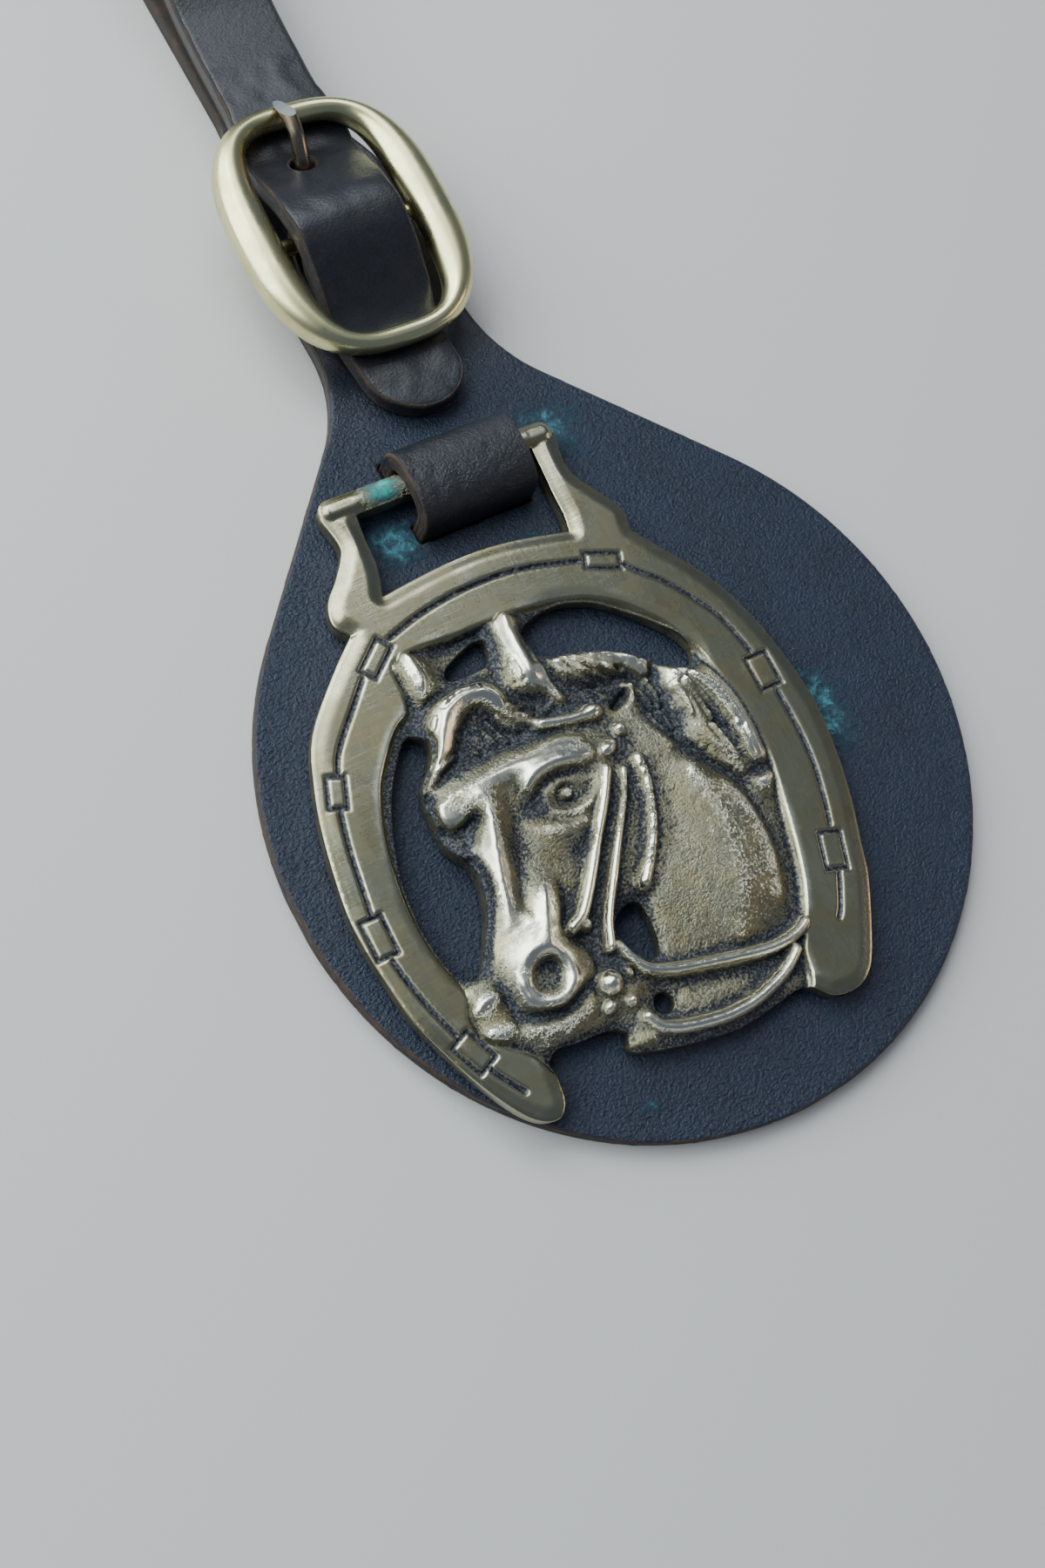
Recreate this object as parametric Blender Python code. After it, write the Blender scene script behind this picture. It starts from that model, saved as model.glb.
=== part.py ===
"""A harness decoration: a cast horse brass hanging on a round leather backing.

The backing, its neck and its strap are one piece of leather. The strap is folded
over into a hanging loop and comes back down through a centre-bar buckle. The brass
swings on the round bar of its hanger, which a leather loop holds to the backing.

X runs across, +Y towards the hanging loop, +Z up. The origin is the middle of the
round backing, on its underside. All sizes below are in millimetres and degrees.
"""
import math

import bmesh
import bpy
import numpy as np
from mathutils import Matrix

MM = 0.001
GAP = 0.3                     # kept between pieces that touch

# leather backing, neck and strap
LEATHER = 3.0
DISC_RADIUS = 52.0
SHOULDER_ANGLE = 42.0         # where the edge of the disc runs out into the neck
NECK_FILLET = 22.0
NECK_FOOT = (12.2, 66.0)      # half width of the neck, and its place along Y
NECK_TOP = (12.7, 94.5)
STRAP_ROOT = [NECK_TOP, (12.3, 98.5), (10.6, 102.5), (8.7, 106.0), (7.8, 109.0), (7.5, 112.0)]
STRAP_HALF_WIDTH = 7.5
TIP_LENGTH = 6.8
TIP_Y = 56.6
FOLD_START = 134.0            # the strap lies flat up to here, then folds over

# the folded strap: heights of its middle line
FRONT_HEIGHT = 7.0            # above the back layer
HUMP_HEIGHT = 12.1            # over the centre bar of the buckle
TIP_HEIGHT = LEATHER + GAP + LEATHER / 2
HUMP_RISE_Y = 100.5
HUMP_FALL_Y = 69.0
STRAP_WANDER = [(56.6, -1.2), (70, -2.2), (87, -2.9), (98, -2.2), (108, -0.9), (130, -0.3), (150, 0.0)]

# buckle
BUCKLE = (-1.5, 85.3, 9.3)    # middle of the frame
FRAME_HALF_SIZE = (16.7, 19.8)
WINDOW_HALF_SIZE = (10.2, 16.6)
FRAME_PITCH = 3.5             # the strap lifts its upper end
SIDE_BAR_DEPTH = 5.6
END_BAR_DEPTH = 3.2
CENTRE_BAR_RADIUS = 1.2
CENTRE_BAR_HEIGHT = 7.6
CHAPE_LEATHER = 1.1
CHAPE_HALF_WIDTH = 7.5
CHAPE_TAIL = 8.8              # from the centre bar to its sewn ends
CHAPE_SLOT_Y = (-3.4, 4.0)    # beside the tongue, from the centre bar
TONGUE_X = -2.9
TONGUE_WIDTH = 2.6
TONGUE_WIRE_RADIUS = 1.15
TONGUE_EYE_RADIUS = 2.7
TONGUE_LINE = [(87.2, 6.5), (90.5, 5.9), (93.0, 6.5), (94.9, 8.6), (96.6, 11.2), (98.9, 13.1),
               (102, 13.7), (105, 13.3)]
TIP_CUT_Y = (98.6, 108.6)     # the block that slants the tip, before it is tilted
TIP_CUT_HEIGHT = (13.1, 17.1)
TIP_CUT_TILT = -27.5
TONGUE_HOLE_Y = (93.3, 97.3)
TONGUE_HOLE_HALF_WIDTH = 2.0

# leather loop over the hanger bar
LOOP_X = (-12.5, 5.8)
LOOP_Y = (39.7, 52.3)
LOOP_LEATHER = 2.6
LOOP_SPRING = 5.0             # height where its sides turn into the arch
LOOP_TOP = 10.0

# horse brass
BACK = LEATHER + GAP          # height of its flat back
SHOE = 3.0                    # thickness of the horseshoe
GROUND = 1.7                  # thickness of the casting at the edges of the head
BAR_Y = 47.4
BAR_RADIUS = 1.75
HANGER_X = (-24.6, 12.4)
HANGER_WINDOW_TOP = 45.7
GROOVE_RADIUS = 0.5           # of the fuller, the groove that joins the nail heads
GROOVE_LIFT = 0.08            # of its middle above the face of the shoe
NAIL_GROOVE = 0.5             # width of the groove round each nail head
NAIL_DEPTH = 0.5
PLATE_LOW = (-52.0, -46.0)    # the plate that the shoe and its hanger are cut from
PLATE_HIGH = (32.0, 56.0)

# carving of the head: a sheet stretched over its lines, then read at a coarser face
SHEET_CELL = 0.5
SHEET_LOW = (-42.0, -44.0)
SHEET_HIGH = (18.0, 30.0)
SHEET_STEPS = (8, 4, 2, 1)    # cells joined together, from the broad forms to the fine
SHEET_PASSES = 120
SHEET_SOFTENING = 3
SHEET_MARGIN = 0.9            # how far the head runs in under the shoe
BEAD_FALL = 2.2               # from the top of a bead to its edge
STRAP_FALL = 2.4
STRAP_LEAST_HALF_WIDTH = 1.5
SOFT_JOIN = 0.2               # over which beads and straps melt into the head
LEAST_THICKNESS = 1.3
RELIEF_CELL = 1.25
RELIEF_LOW = (-40.2, -39.6)
RELIEF_HIGH = (16.2, 27.2)
SINK_WIDTH = 2.5              # over which the head sinks into the shoe around it
SINK_START = 0.6
SINK_DEPTH = 0.8

for item in list(bpy.data.objects):
    bpy.data.objects.remove(item, do_unlink=True)


def new_collection(name):
    group = bpy.data.collections.new(name)
    bpy.context.scene.collection.children.link(group)
    return group


PARTS = new_collection("saddle_medallion")
CUTTERS = new_collection("cutters")


def new_material(name, colour, roughness, metallic):
    material = bpy.data.materials.new(name)
    material.use_nodes = True
    shader = material.node_tree.nodes["Principled BSDF"]
    shader.inputs["Base Color"].default_value = (*colour, 1.0)
    shader.inputs["Roughness"].default_value = roughness
    shader.inputs["Metallic"].default_value = metallic
    material.diffuse_color = (*colour, 1.0)
    return material


def file_in(item, group):
    for holder in list(item.users_collection):
        holder.objects.unlink(item)
    group.objects.link(item)


def as_part(item, material, sharp=35.0):
    """Give a solid its material and smooth shading, and file it with the parts."""
    item.data.materials.clear()
    item.data.materials.append(material)
    item.data.shade_smooth()
    item.data.set_sharp_from_angle(angle=math.radians(sharp))
    file_in(item, PARTS)
    return item


def as_tool(item):
    """File a solid that only cuts, trims or joins another one."""
    item.hide_render = True
    item.display_type = "WIRE"
    file_in(item, CUTTERS)
    return item


def combine(item, tool, operation):
    step = item.modifiers.new(operation.title(), "BOOLEAN")
    step.operation = operation
    step.solver = "EXACT"
    step.object = tool


# ---------------------------------------------------------------- outlines

def smooth(points, closed=False, steps=3):
    """Points along a Catmull-Rom curve through the given points."""
    p = np.array(points, float)
    count = len(p)
    if count < 3:
        return p
    out = []
    for i in range(count if closed else count - 1):
        if closed:
            a, b, c, d = p[i - 1], p[i], p[(i + 1) % count], p[(i + 2) % count]
        else:
            b, c = p[i], p[i + 1]
            a = p[i - 1] if i > 0 else 2 * b - c
            d = p[i + 2] if i + 2 < count else 2 * c - b
        for t in np.arange(steps) / steps:
            cubic = (3 * b - a - 3 * c + d) * t ** 3
            square = (2 * a - 5 * b + 4 * c - d) * t ** 2
            out.append(0.5 * (2 * b + (c - a) * t + square + cubic))
    if not closed:
        out.append(p[-1])
    return np.array(out)


def chain(*runs, steps=2):
    """One closed outline from smooth runs that meet at corners."""
    return np.vstack([smooth(run, steps=steps)[:-1] for run in runs])


def ellipse(centre, radii, start=0.0, end=360.0, count=16, power=2.0):
    """Points round an ellipse, or a squarer shape where the power is above 2."""
    turn = np.radians(np.linspace(start, end, count))
    across = np.sign(np.cos(turn)) * np.abs(np.cos(turn)) ** (2 / power)
    along = np.sign(np.sin(turn)) * np.abs(np.sin(turn)) ** (2 / power)
    return np.column_stack([centre[0] + radii[0] * across, centre[1] + radii[1] * along])


def circle(centre, radius, count=16):
    return ellipse(centre, (radius, radius), count=count + 1)[:-1]


def fillet(before, corner, after, radius, count):
    """The arc that rounds the corner between two straight runs."""
    before, corner, after = (np.array(p, float) for p in (before, corner, after))
    u = (before - corner) / np.linalg.norm(before - corner)
    v = (after - corner) / np.linalg.norm(after - corner)
    half = 0.5 * math.acos(float(u @ v))
    centre = corner + (u + v) / np.linalg.norm(u + v) * radius / math.sin(half)
    start = corner + u * radius / math.tan(half) - centre
    end = corner + v * radius / math.tan(half) - centre
    first = math.atan2(start[1], start[0])
    sweep = (math.atan2(end[1], end[0]) - first + math.pi) % (2 * math.pi) - math.pi
    turn = first + sweep * np.linspace(0.0, 1.0, count)
    return centre + radius * np.column_stack([np.cos(turn), np.sin(turn)])


# ---------------------------------------------------------------- solids

def curve_to_mesh(item):
    """A mesh object made from a curve object, with its caps welded on."""
    bpy.context.scene.collection.objects.link(item)
    bpy.context.view_layer.update()
    evaluated = item.evaluated_get(bpy.context.evaluated_depsgraph_get())
    mesh = bpy.data.meshes.new_from_object(evaluated)
    solid = bpy.data.objects.new("solid", mesh)
    bpy.context.scene.collection.objects.link(solid)
    solid.matrix_world = item.matrix_world.copy()
    name = item.name
    bpy.data.objects.remove(item, do_unlink=True)
    solid.name = name
    shape = bmesh.new()
    shape.from_mesh(mesh)
    bmesh.ops.remove_doubles(shape, verts=shape.verts, dist=0.01 * MM)
    bmesh.ops.recalc_face_normals(shape, faces=shape.faces)
    shape.to_mesh(mesh)
    shape.free()
    return solid


def prism(name, loops, bottom, top):
    """A flat plate from closed outlines; an outline inside another is a hole."""
    curve = bpy.data.curves.new(name, "CURVE")
    curve.dimensions = "2D"
    curve.fill_mode = "BOTH"
    curve.extrude = (top - bottom) / 2 * MM
    for loop in loops:
        spline = curve.splines.new("POLY")
        spline.points.add(len(loop) - 1)
        for point, (x, y) in zip(spline.points, loop):
            point.co = (x * MM, y * MM, 0.0, 1.0)
        spline.use_cyclic_u = True
    item = bpy.data.objects.new(name, curve)
    item.location.z = (top + bottom) / 2 * MM
    return curve_to_mesh(item)


def side_prism(name, loops, left, right):
    """A solid whose outline lies in the YZ plane, as wide as left to right."""
    solid = prism(name, loops, left, right)
    solid.location = ((left + right) / 2 * MM, 0.0, 0.0)
    solid.rotation_euler = (math.pi / 2, 0.0, math.pi / 2)
    return solid


def block(name, low, high, turn=0.0, tilt=0.0):
    """A box between two corners, turned about Z or tilted about X at its own middle."""
    low, high = np.array(low, float), np.array(high, float)
    bpy.ops.mesh.primitive_cube_add(size=1.0)
    item = bpy.context.object
    item.name = name
    item.data.transform(Matrix.Diagonal((*(high - low) * MM, 1.0)))
    item.location = (low + high) / 2 * MM
    item.rotation_euler = (math.radians(tilt), 0.0, math.radians(turn))
    return item


def cross_bar(name, radius, left, right, y, z, sides=16):
    """A round bar that runs along X."""
    bpy.ops.mesh.primitive_cylinder_add(vertices=sides, radius=radius * MM, depth=(right - left) * MM)
    item = bpy.context.object
    item.name = name
    item.data.transform(Matrix.Rotation(math.pi / 2, 4, "Y"))
    item.location = ((left + right) / 2 * MM, y * MM, z * MM)
    return item


def rod(name, points, radius, resolution):
    """A rod along a line of 3-D points. Its section has 4, 6 or 8 sides as resolution is 0, 1 or 2."""
    curve = bpy.data.curves.new(name, "CURVE")
    curve.dimensions = "3D"
    curve.bevel_depth = radius * MM
    curve.bevel_resolution = resolution
    curve.use_fill_caps = True
    spline = curve.splines.new("POLY")
    spline.points.add(len(points) - 1)
    for point, place in zip(spline.points, points):
        point.co = (*np.array(place) * MM, 1.0)
    return curve_to_mesh(bpy.data.objects.new(name, curve))


# ---------------------------------------------------------------- leather backing

def strap_line():
    """Middle line of the folded strap, (along Y, height), from the flat to the tip."""
    fold = smooth([(FOLD_START, LEATHER / 2), (140, 1.7), (145.5, 2.9), (149.8, 5.8), (151, 9.8),
                   (148.2, 12.9), (143, 13.2), (137, 11.3), (131, 8.9), (125, 7.5), (119, FRONT_HEIGHT)])
    crest = BUCKLE[1]
    over = []
    for y in np.arange(HUMP_RISE_Y, HUMP_FALL_Y - 1.0, -2.25):
        foot, level = (HUMP_RISE_Y, FRONT_HEIGHT) if y > crest else (HUMP_FALL_Y, TIP_HEIGHT)
        share = 0.5 + 0.5 * math.cos(math.pi * min((y - crest) / (foot - crest), 1.0))
        over.append((y, level + (HUMP_HEIGHT - level) * share))
    return np.vstack([fold, over, [(TIP_Y, TIP_HEIGHT)]])


def along(line):
    """Distance from the start of a line to each of its points."""
    return np.concatenate([[0.0], np.cumsum(np.linalg.norm(np.diff(line, axis=0), axis=1))])


def strap_sideways(y):
    """How far the folded strap lies to the side of the middle."""
    return np.interp(y, *zip(*STRAP_WANDER))


def leather_half_outline(length):
    """Right edge of the flat leather, from the foot of the disc to the tip."""
    disc = ellipse((0, 0), (DISC_RADIUS, DISC_RADIUS), -90.0, SHOULDER_ANGLE, 34)
    shoulder = disc[-1]
    lean = math.radians(SHOULDER_ANGLE)
    run_out = np.array([-math.sin(lean), math.cos(lean)])
    neck = np.array(NECK_TOP) - NECK_FOOT
    across = np.linalg.solve(np.column_stack([run_out, -neck]), NECK_FOOT - shoulder)
    corner = shoulder + run_out * across[0]
    rounded = fillet(shoulder, corner, NECK_TOP, NECK_FILLET, 8)
    root = smooth(STRAP_ROOT, steps=2)
    tip = ellipse((0, length - TIP_LENGTH), (STRAP_HALF_WIDTH, TIP_LENGTH), 0.0, 90.0, 9)
    return np.vstack([disc, rounded, root, tip])


def fold_leather(solid, line):
    """Bend the flat leather beyond FOLD_START along the strap's middle line."""
    stations = along(line)
    shape = bmesh.new()
    shape.from_mesh(solid.data)
    bmesh.ops.dissolve_limit(shape, angle_limit=0.01, verts=shape.verts, edges=shape.edges)
    for station in stations[:-1]:
        bmesh.ops.bisect_plane(
            shape, geom=shape.verts[:] + shape.edges[:] + shape.faces[:], dist=0.001 * MM,
            plane_co=(0.0, (FOLD_START + station) * MM, 0.0), plane_no=(0.0, 1.0, 0.0))
    ahead = np.gradient(line, stations, axis=0)
    for vert in shape.verts:
        beyond = vert.co.y / MM - FOLD_START
        if beyond <= 0.0:
            continue
        y, z = (np.interp(beyond, stations, line[:, k]) for k in (0, 1))
        dy, dz = (np.interp(beyond, stations, ahead[:, k]) for k in (0, 1))
        rise = (vert.co.z / MM - LEATHER / 2) / math.hypot(dy, dz)
        folded = beyond > stations[len(stations) // 4]
        aside = strap_sideways(y) * (1.0 if folded else 0.0)
        vert.co = ((vert.co.x / MM + aside) * MM, (y - dz * rise) * MM, (z + dy * rise) * MM)
    shape.to_mesh(solid.data)
    shape.free()


def make_backing(material):
    line = strap_line()
    stations = along(line)
    length = FOLD_START + stations[-1]
    right = leather_half_outline(length)
    left = (right * [-1, 1])[-2:0:-1]
    slits = []
    for inner, outer in ((LOOP_Y[0], LOOP_Y[0] + LOOP_LEATHER), (LOOP_Y[1] - LOOP_LEATHER, LOOP_Y[1])):
        low, high = (LOOP_X[0] - GAP, inner - GAP), (LOOP_X[1] + GAP, outer + GAP)
        slits.append([low, (high[0], low[1]), high, (low[0], high[1])])
    front = line[:, 1].argmax()
    hole = [FOLD_START + np.interp(-y, -line[front:, 0], stations[front:]) for y in TONGUE_HOLE_Y]
    middle = TONGUE_X - strap_sideways(np.mean(TONGUE_HOLE_Y))
    slot = ellipse((middle, np.mean(hole)), (TONGUE_HOLE_HALF_WIDTH, (hole[0] - hole[1]) / 2),
                   count=17, power=3.0)[:-1]
    solid = prism("leather_backing", [np.vstack([right, left]), *slits, slot], 0.0, LEATHER)
    solid.data.transform(solid.matrix_world)
    solid.location = (0.0, 0.0, 0.0)
    fold_leather(solid, line)
    as_part(solid, material)


# ---------------------------------------------------------------- leather loop

def make_hanger_loop(material):
    middle = sum(LOOP_Y) / 2
    outer = (LOOP_Y[1] - LOOP_Y[0]) / 2
    rise = LOOP_TOP - LOOP_SPRING
    outside = ellipse((middle, LOOP_SPRING), (outer, rise), 180.0, 0.0, 17, 2.5)
    inside = ellipse((middle, LOOP_SPRING), (outer - LOOP_LEATHER, rise - LOOP_LEATHER),
                     0.0, 180.0, 13, 2.5)
    foot = GAP
    outline = np.vstack([[(outside[0][0], foot)], outside, [(outside[-1][0], foot)],
                         [(inside[0][0], foot)], inside, [(inside[-1][0], foot)]])
    as_part(side_prism("hanger_loop", [outline], *LOOP_X), material)


# ---------------------------------------------------------------- buckle

def make_frame(material):
    """A rounded ring, wide and deep at its sides and slim at its ends."""
    count, sides = 40, 10
    outer = ellipse((0, 0), FRAME_HALF_SIZE, count=count + 1, power=2.6)[:-1]
    inner = ellipse((0, 0), WINDOW_HALF_SIZE, count=count + 1, power=4.0)[:-1]
    turn = np.radians(np.arange(sides) * 360.0 / sides)
    shape = bmesh.new()
    rings = []
    for i in range(count):
        middle, half = (outer[i] + inner[i]) / 2, (outer[i] - inner[i]) / 2
        sideways = abs(math.cos(2 * math.pi * i / count)) ** 1.5
        depth = (END_BAR_DEPTH + (SIDE_BAR_DEPTH - END_BAR_DEPTH) * sideways) / 2
        ring = []
        for angle in turn:
            x, y = middle + half * math.cos(angle)
            ring.append(shape.verts.new((x * MM, y * MM, depth * math.sin(angle) * MM)))
        rings.append(ring)
    for i in range(count):
        for k in range(sides):
            j, m = (i + 1) % count, (k + 1) % sides
            shape.faces.new((rings[i][k], rings[j][k], rings[j][m], rings[i][m]))
    bmesh.ops.recalc_face_normals(shape, faces=shape.faces)
    mesh = bpy.data.meshes.new("buckle_frame")
    shape.to_mesh(mesh)
    shape.free()
    frame = bpy.data.objects.new("buckle_frame", mesh)
    frame.location = [value * MM for value in BUCKLE]
    frame.rotation_euler.x = math.radians(FRAME_PITCH)
    reach = (FRAME_HALF_SIZE[0] + WINDOW_HALF_SIZE[0]) / 2
    bar = cross_bar("centre_bar", CENTRE_BAR_RADIUS, BUCKLE[0] - reach, BUCKLE[0] + reach,
                    BUCKLE[1], CENTRE_BAR_HEIGHT)
    combine(frame, as_tool(bar), "UNION")
    as_part(frame, material)


def make_chape(material):
    """A strip folded round the centre bar, its two ends sewn down side by side."""
    y, z = BUCKLE[1], CENTRE_BAR_HEIGHT
    inner = CENTRE_BAR_RADIUS + GAP
    outer = inner + CHAPE_LEATHER
    floor = LEATHER + GAP
    top = floor + 2 * CHAPE_LEATHER
    wrap = ellipse((y, z), (outer, outer), -60.0, 200.0, 16)
    tail = [(y - CHAPE_TAIL / 2, top + GAP), (y - CHAPE_TAIL, top),
            (y - CHAPE_TAIL, floor), (y - inner, floor)]
    chape = side_prism("buckle_chape", [np.vstack([wrap, tail]), circle((y, z), inner, 12)],
                       BUCKLE[0] - CHAPE_HALF_WIDTH, BUCKLE[0] + CHAPE_HALF_WIDTH)
    slot = TONGUE_WIDTH / 2 + GAP
    cut = block("tongue_slot", (TONGUE_X - slot, y + CHAPE_SLOT_Y[0], 0),
                (TONGUE_X + slot, y + CHAPE_SLOT_Y[1], z + 2 * outer))
    combine(chape, as_tool(cut), "DIFFERENCE")
    as_part(chape, material)


def make_tongue(material):
    """An eye round the centre bar, and a wire that rises through the strap to a slanted tip."""
    y, z = BUCKLE[1], CENTRE_BAR_HEIGHT
    tongue = side_prism("buckle_tongue", [circle((y, z), TONGUE_EYE_RADIUS, 20),
                                          circle((y, z), CENTRE_BAR_RADIUS + GAP, 12)],
                        TONGUE_X - TONGUE_WIDTH / 2, TONGUE_X + TONGUE_WIDTH / 2)
    wire = rod("tongue_wire", [(TONGUE_X, *place) for place in smooth(TONGUE_LINE)], TONGUE_WIRE_RADIUS, 2)
    combine(tongue, as_tool(wire), "UNION")
    low, high = ((TONGUE_X + aside, along_y, height) for aside, along_y, height
                 in zip((-TONGUE_WIDTH, TONGUE_WIDTH), TIP_CUT_Y, TIP_CUT_HEIGHT))
    tip = block("tip_cut", low, high, tilt=TIP_CUT_TILT)
    combine(tongue, as_tool(tip), "DIFFERENCE")
    as_part(tongue, material)


# ---------------------------------------------------------------- horse brass

SHOE_OUTSIDE = [
    [(-29.2, 30.4), (-34.1, 26.3), (-40.2, 20.2), (-43.2, 14.1), (-45.3, 7.5), (-47, -1), (-47.3, -6),
     (-46.9, -11.8), (-46.1, -17.9), (-44.2, -24), (-42.2, -29), (-39.9, -33.4), (-37.8, -35.9),
     (-35.5, -36.7), (-33.9, -35.3), (-33.3, -32.5), (-33.1, -30.2)]]
CHIN_AND_REIN = [
    [(-33.1, -30.2), (-31.5, -29.2), (-28, -29.9), (-25, -30.2), (-23, -30.8), (-21.8, -31.9)],
    [(-21.8, -31.9), (-22.9, -33.7), (-21.4, -34.9), (-16.8, -36.5), (-8.7, -38.4), (-3.7, -38.4),
     (1.4, -38), (3.4, -38.1)]]
RIGHT_HEEL_TO_SHOULDER = [
    [(3.4, -38.1), (4.6, -39.2), (6.3, -41), (9.3, -41.7), (12.2, -41), (15, -38.2), (20.1, -30),
     (22.1, -25), (24.4, -19), (26.1, -13), (27.2, -7), (27.4, -2), (27, 3), (26, 9), (24.5, 14),
     (22.3, 19), (17.5, 26.2), (15.6, 29)]]
HANGER_OUTSIDE = [
    [(15.6, 29), (16.2, 32.4), (13.7, 37), (12.4, 39.2), (11.9, 41.4), (12.2, 44), (12.9, 46.6),
     (HANGER_X[1], BAR_Y)],
    [(HANGER_X[1], BAR_Y), (HANGER_X[0], BAR_Y)],
    [(HANGER_X[0], BAR_Y), (-25, 46.9), (-24.4, 42.6), (-25.3, 40.6), (-27.3, 38.2), (-29.8, 35.6),
     (-30.6, 32.6), (-29.2, 30.4)]]
SHOE_INSIDE = [
    (5.2, -34), (6.6, -31.8), (8.6, -29), (10.6, -25.5), (12.1, -21.5), (13.5, -17), (15.6, -9.5),
    (16, -5), (15.9, 0), (15.1, 7.5), (14.2, 10.6), (12.3, 14.3), (10, 17.2), (7.5, 19.7), (4, 21.9),
    (0, 23.2), (-4, 23.8), (-9, 24.3), (-15, 24.3), (-21, 24.7), (-25.8, 24.2), (-26.3, 20.5),
    (-27.2, 17.6), (-30, 15.9), (-34.2, 11.4), (-36, 8.4), (-37.6, 4.4), (-38.7, 0), (-39.4, -5),
    (-39.6, -9), (-39.2, -13), (-38.4, -16.2), (-38.3, -18.6), (-39.4, -20.6), (-39.3, -23.6),
    (-37.4, -25.4), (-34.4, -28.2), (-33, -31.5), (-31, -36), (-24, -41), (-10, -42.5), (0, -41.5),
    (4.0, -38)]
HANGER_WINDOW = [
    [(8.3, HANGER_WINDOW_TOP), (7.7, 39), (7.5, 35), (6.9, 32.4)],
    [(6.9, 32.4), (3, 33.3), (-2, 34.3), (-7, 34.8), (-12, 34.8), (-18, 34.3), (-22.4, 33.8)],
    [(-22.4, 33.8), (-21.4, 36.4), (-20.8, 39), (-20.5, 42.5), (-20, HANGER_WINDOW_TOP)],
    [(-20, HANGER_WINDOW_TOP), (8.3, HANGER_WINDOW_TOP)]]
GAP_BY_FACE = [
    (-29.2, 14.9), (-32, 12.1), (-34.5, 8.7), (-36.6, 4.5), (-38.2, 0), (-39.1, -4), (-39.4, -8.5),
    (-39, -13), (-37.9, -16.1), (-36.5, -16.9), (-34.9, -15.8), (-31.6, -10.8), (-30.4, -8),
    (-29.9, -5.5), (-30.1, -3.4), (-31.1, -1.8), (-31.8, 0.5), (-31.3, 6.6), (-30.2, 8.5),
    (-28.4, 10.1), (-27, 12.4), (-27.3, 14)]
GAP_BETWEEN_EARS = [
    (-20.2, 20.2), (-19.8, 19.3), (-17.5, 19.1), (-15.2, 19.1), (-13.6, 19.8), (-12.9, 21.0),
    (-12.6, 23), (-14.8, 23.1), (-18.9, 21.6)]
GAP_BY_CREST = [
    (-7.6, 21.4), (-7.7, 19.5), (-7.2, 17.9), (-4.7, 16.6), (1.4, 14.6), (4.3, 12.8), (7.3, 10.2),
    (9.6, 8.4), (11.6, 7.7), (13.5, 7.9), (14.5, 9.4), (14, 12), (12.2, 14.7), (9.5, 17.7),
    (5.5, 21.1), (1.5, 22.9), (-2, 23.4), (-5.5, 22.8)]
GAP_BY_JAW = [
    (-16.7, -20.8), (-16.2, -19.1), (-14.8, -17.8), (-12.8, -17.4), (-11.5, -18.3), (-11.6, -21),
    (-12.2, -24), (-13.2, -25.2), (-15.3, -24.8), (-16.2, -22.8)]
REIN_HOLE = ((-15.5, -30.8), 1.45)

# nail heads: middle, turn, length, width; the grooves between them follow the web
NAILS = [((-27.7, 26.1), 38, 4.8, 1.9), ((-41.0, 12.0), 68, 3.8, 2.0), ((-45.0, -6.8), 88, 4.8, 2.4),
         ((-41.3, -24.6), 112, 4.4, 2.5), ((8.9, 26.4), -22, 4.8, 1.9), ((22.4, 2.5), 88, 4.6, 3.1),
         ((17.3, -24.2), 70, 4.8, 2.9)]
GROOVES = [
    [(-30.8, 24.2), (-33, 22), (-38, 17), (-39.8, 14)], [(-41.8, 9.6), (-43, 5), (-43.9, 0), (-44.6, -4)],
    [(-45, -9), (-44.7, -12), (-43.7, -17), (-42.2, -22)], [(-40.8, -26.6), (-39.9, -28.5), (-37.9, -31.8)],
    [(-24.8, 27.9), (-20, 29.2), (-15, 30), (-10, 30.3), (-5, 30.1), (0, 29.2), (5.8, 27.6)],
    [(11.2, 25), (13, 23), (16, 20), (19, 15.5), (21, 11.5), (22.4, 5)],
    [(22.7, -1), (22.5, -7), (21.8, -12), (20.4, -17), (19, -20.8)],
    [(16.6, -26.6), (15.9, -28), (13.9, -31.2), (12.8, -32.4)]]

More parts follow.
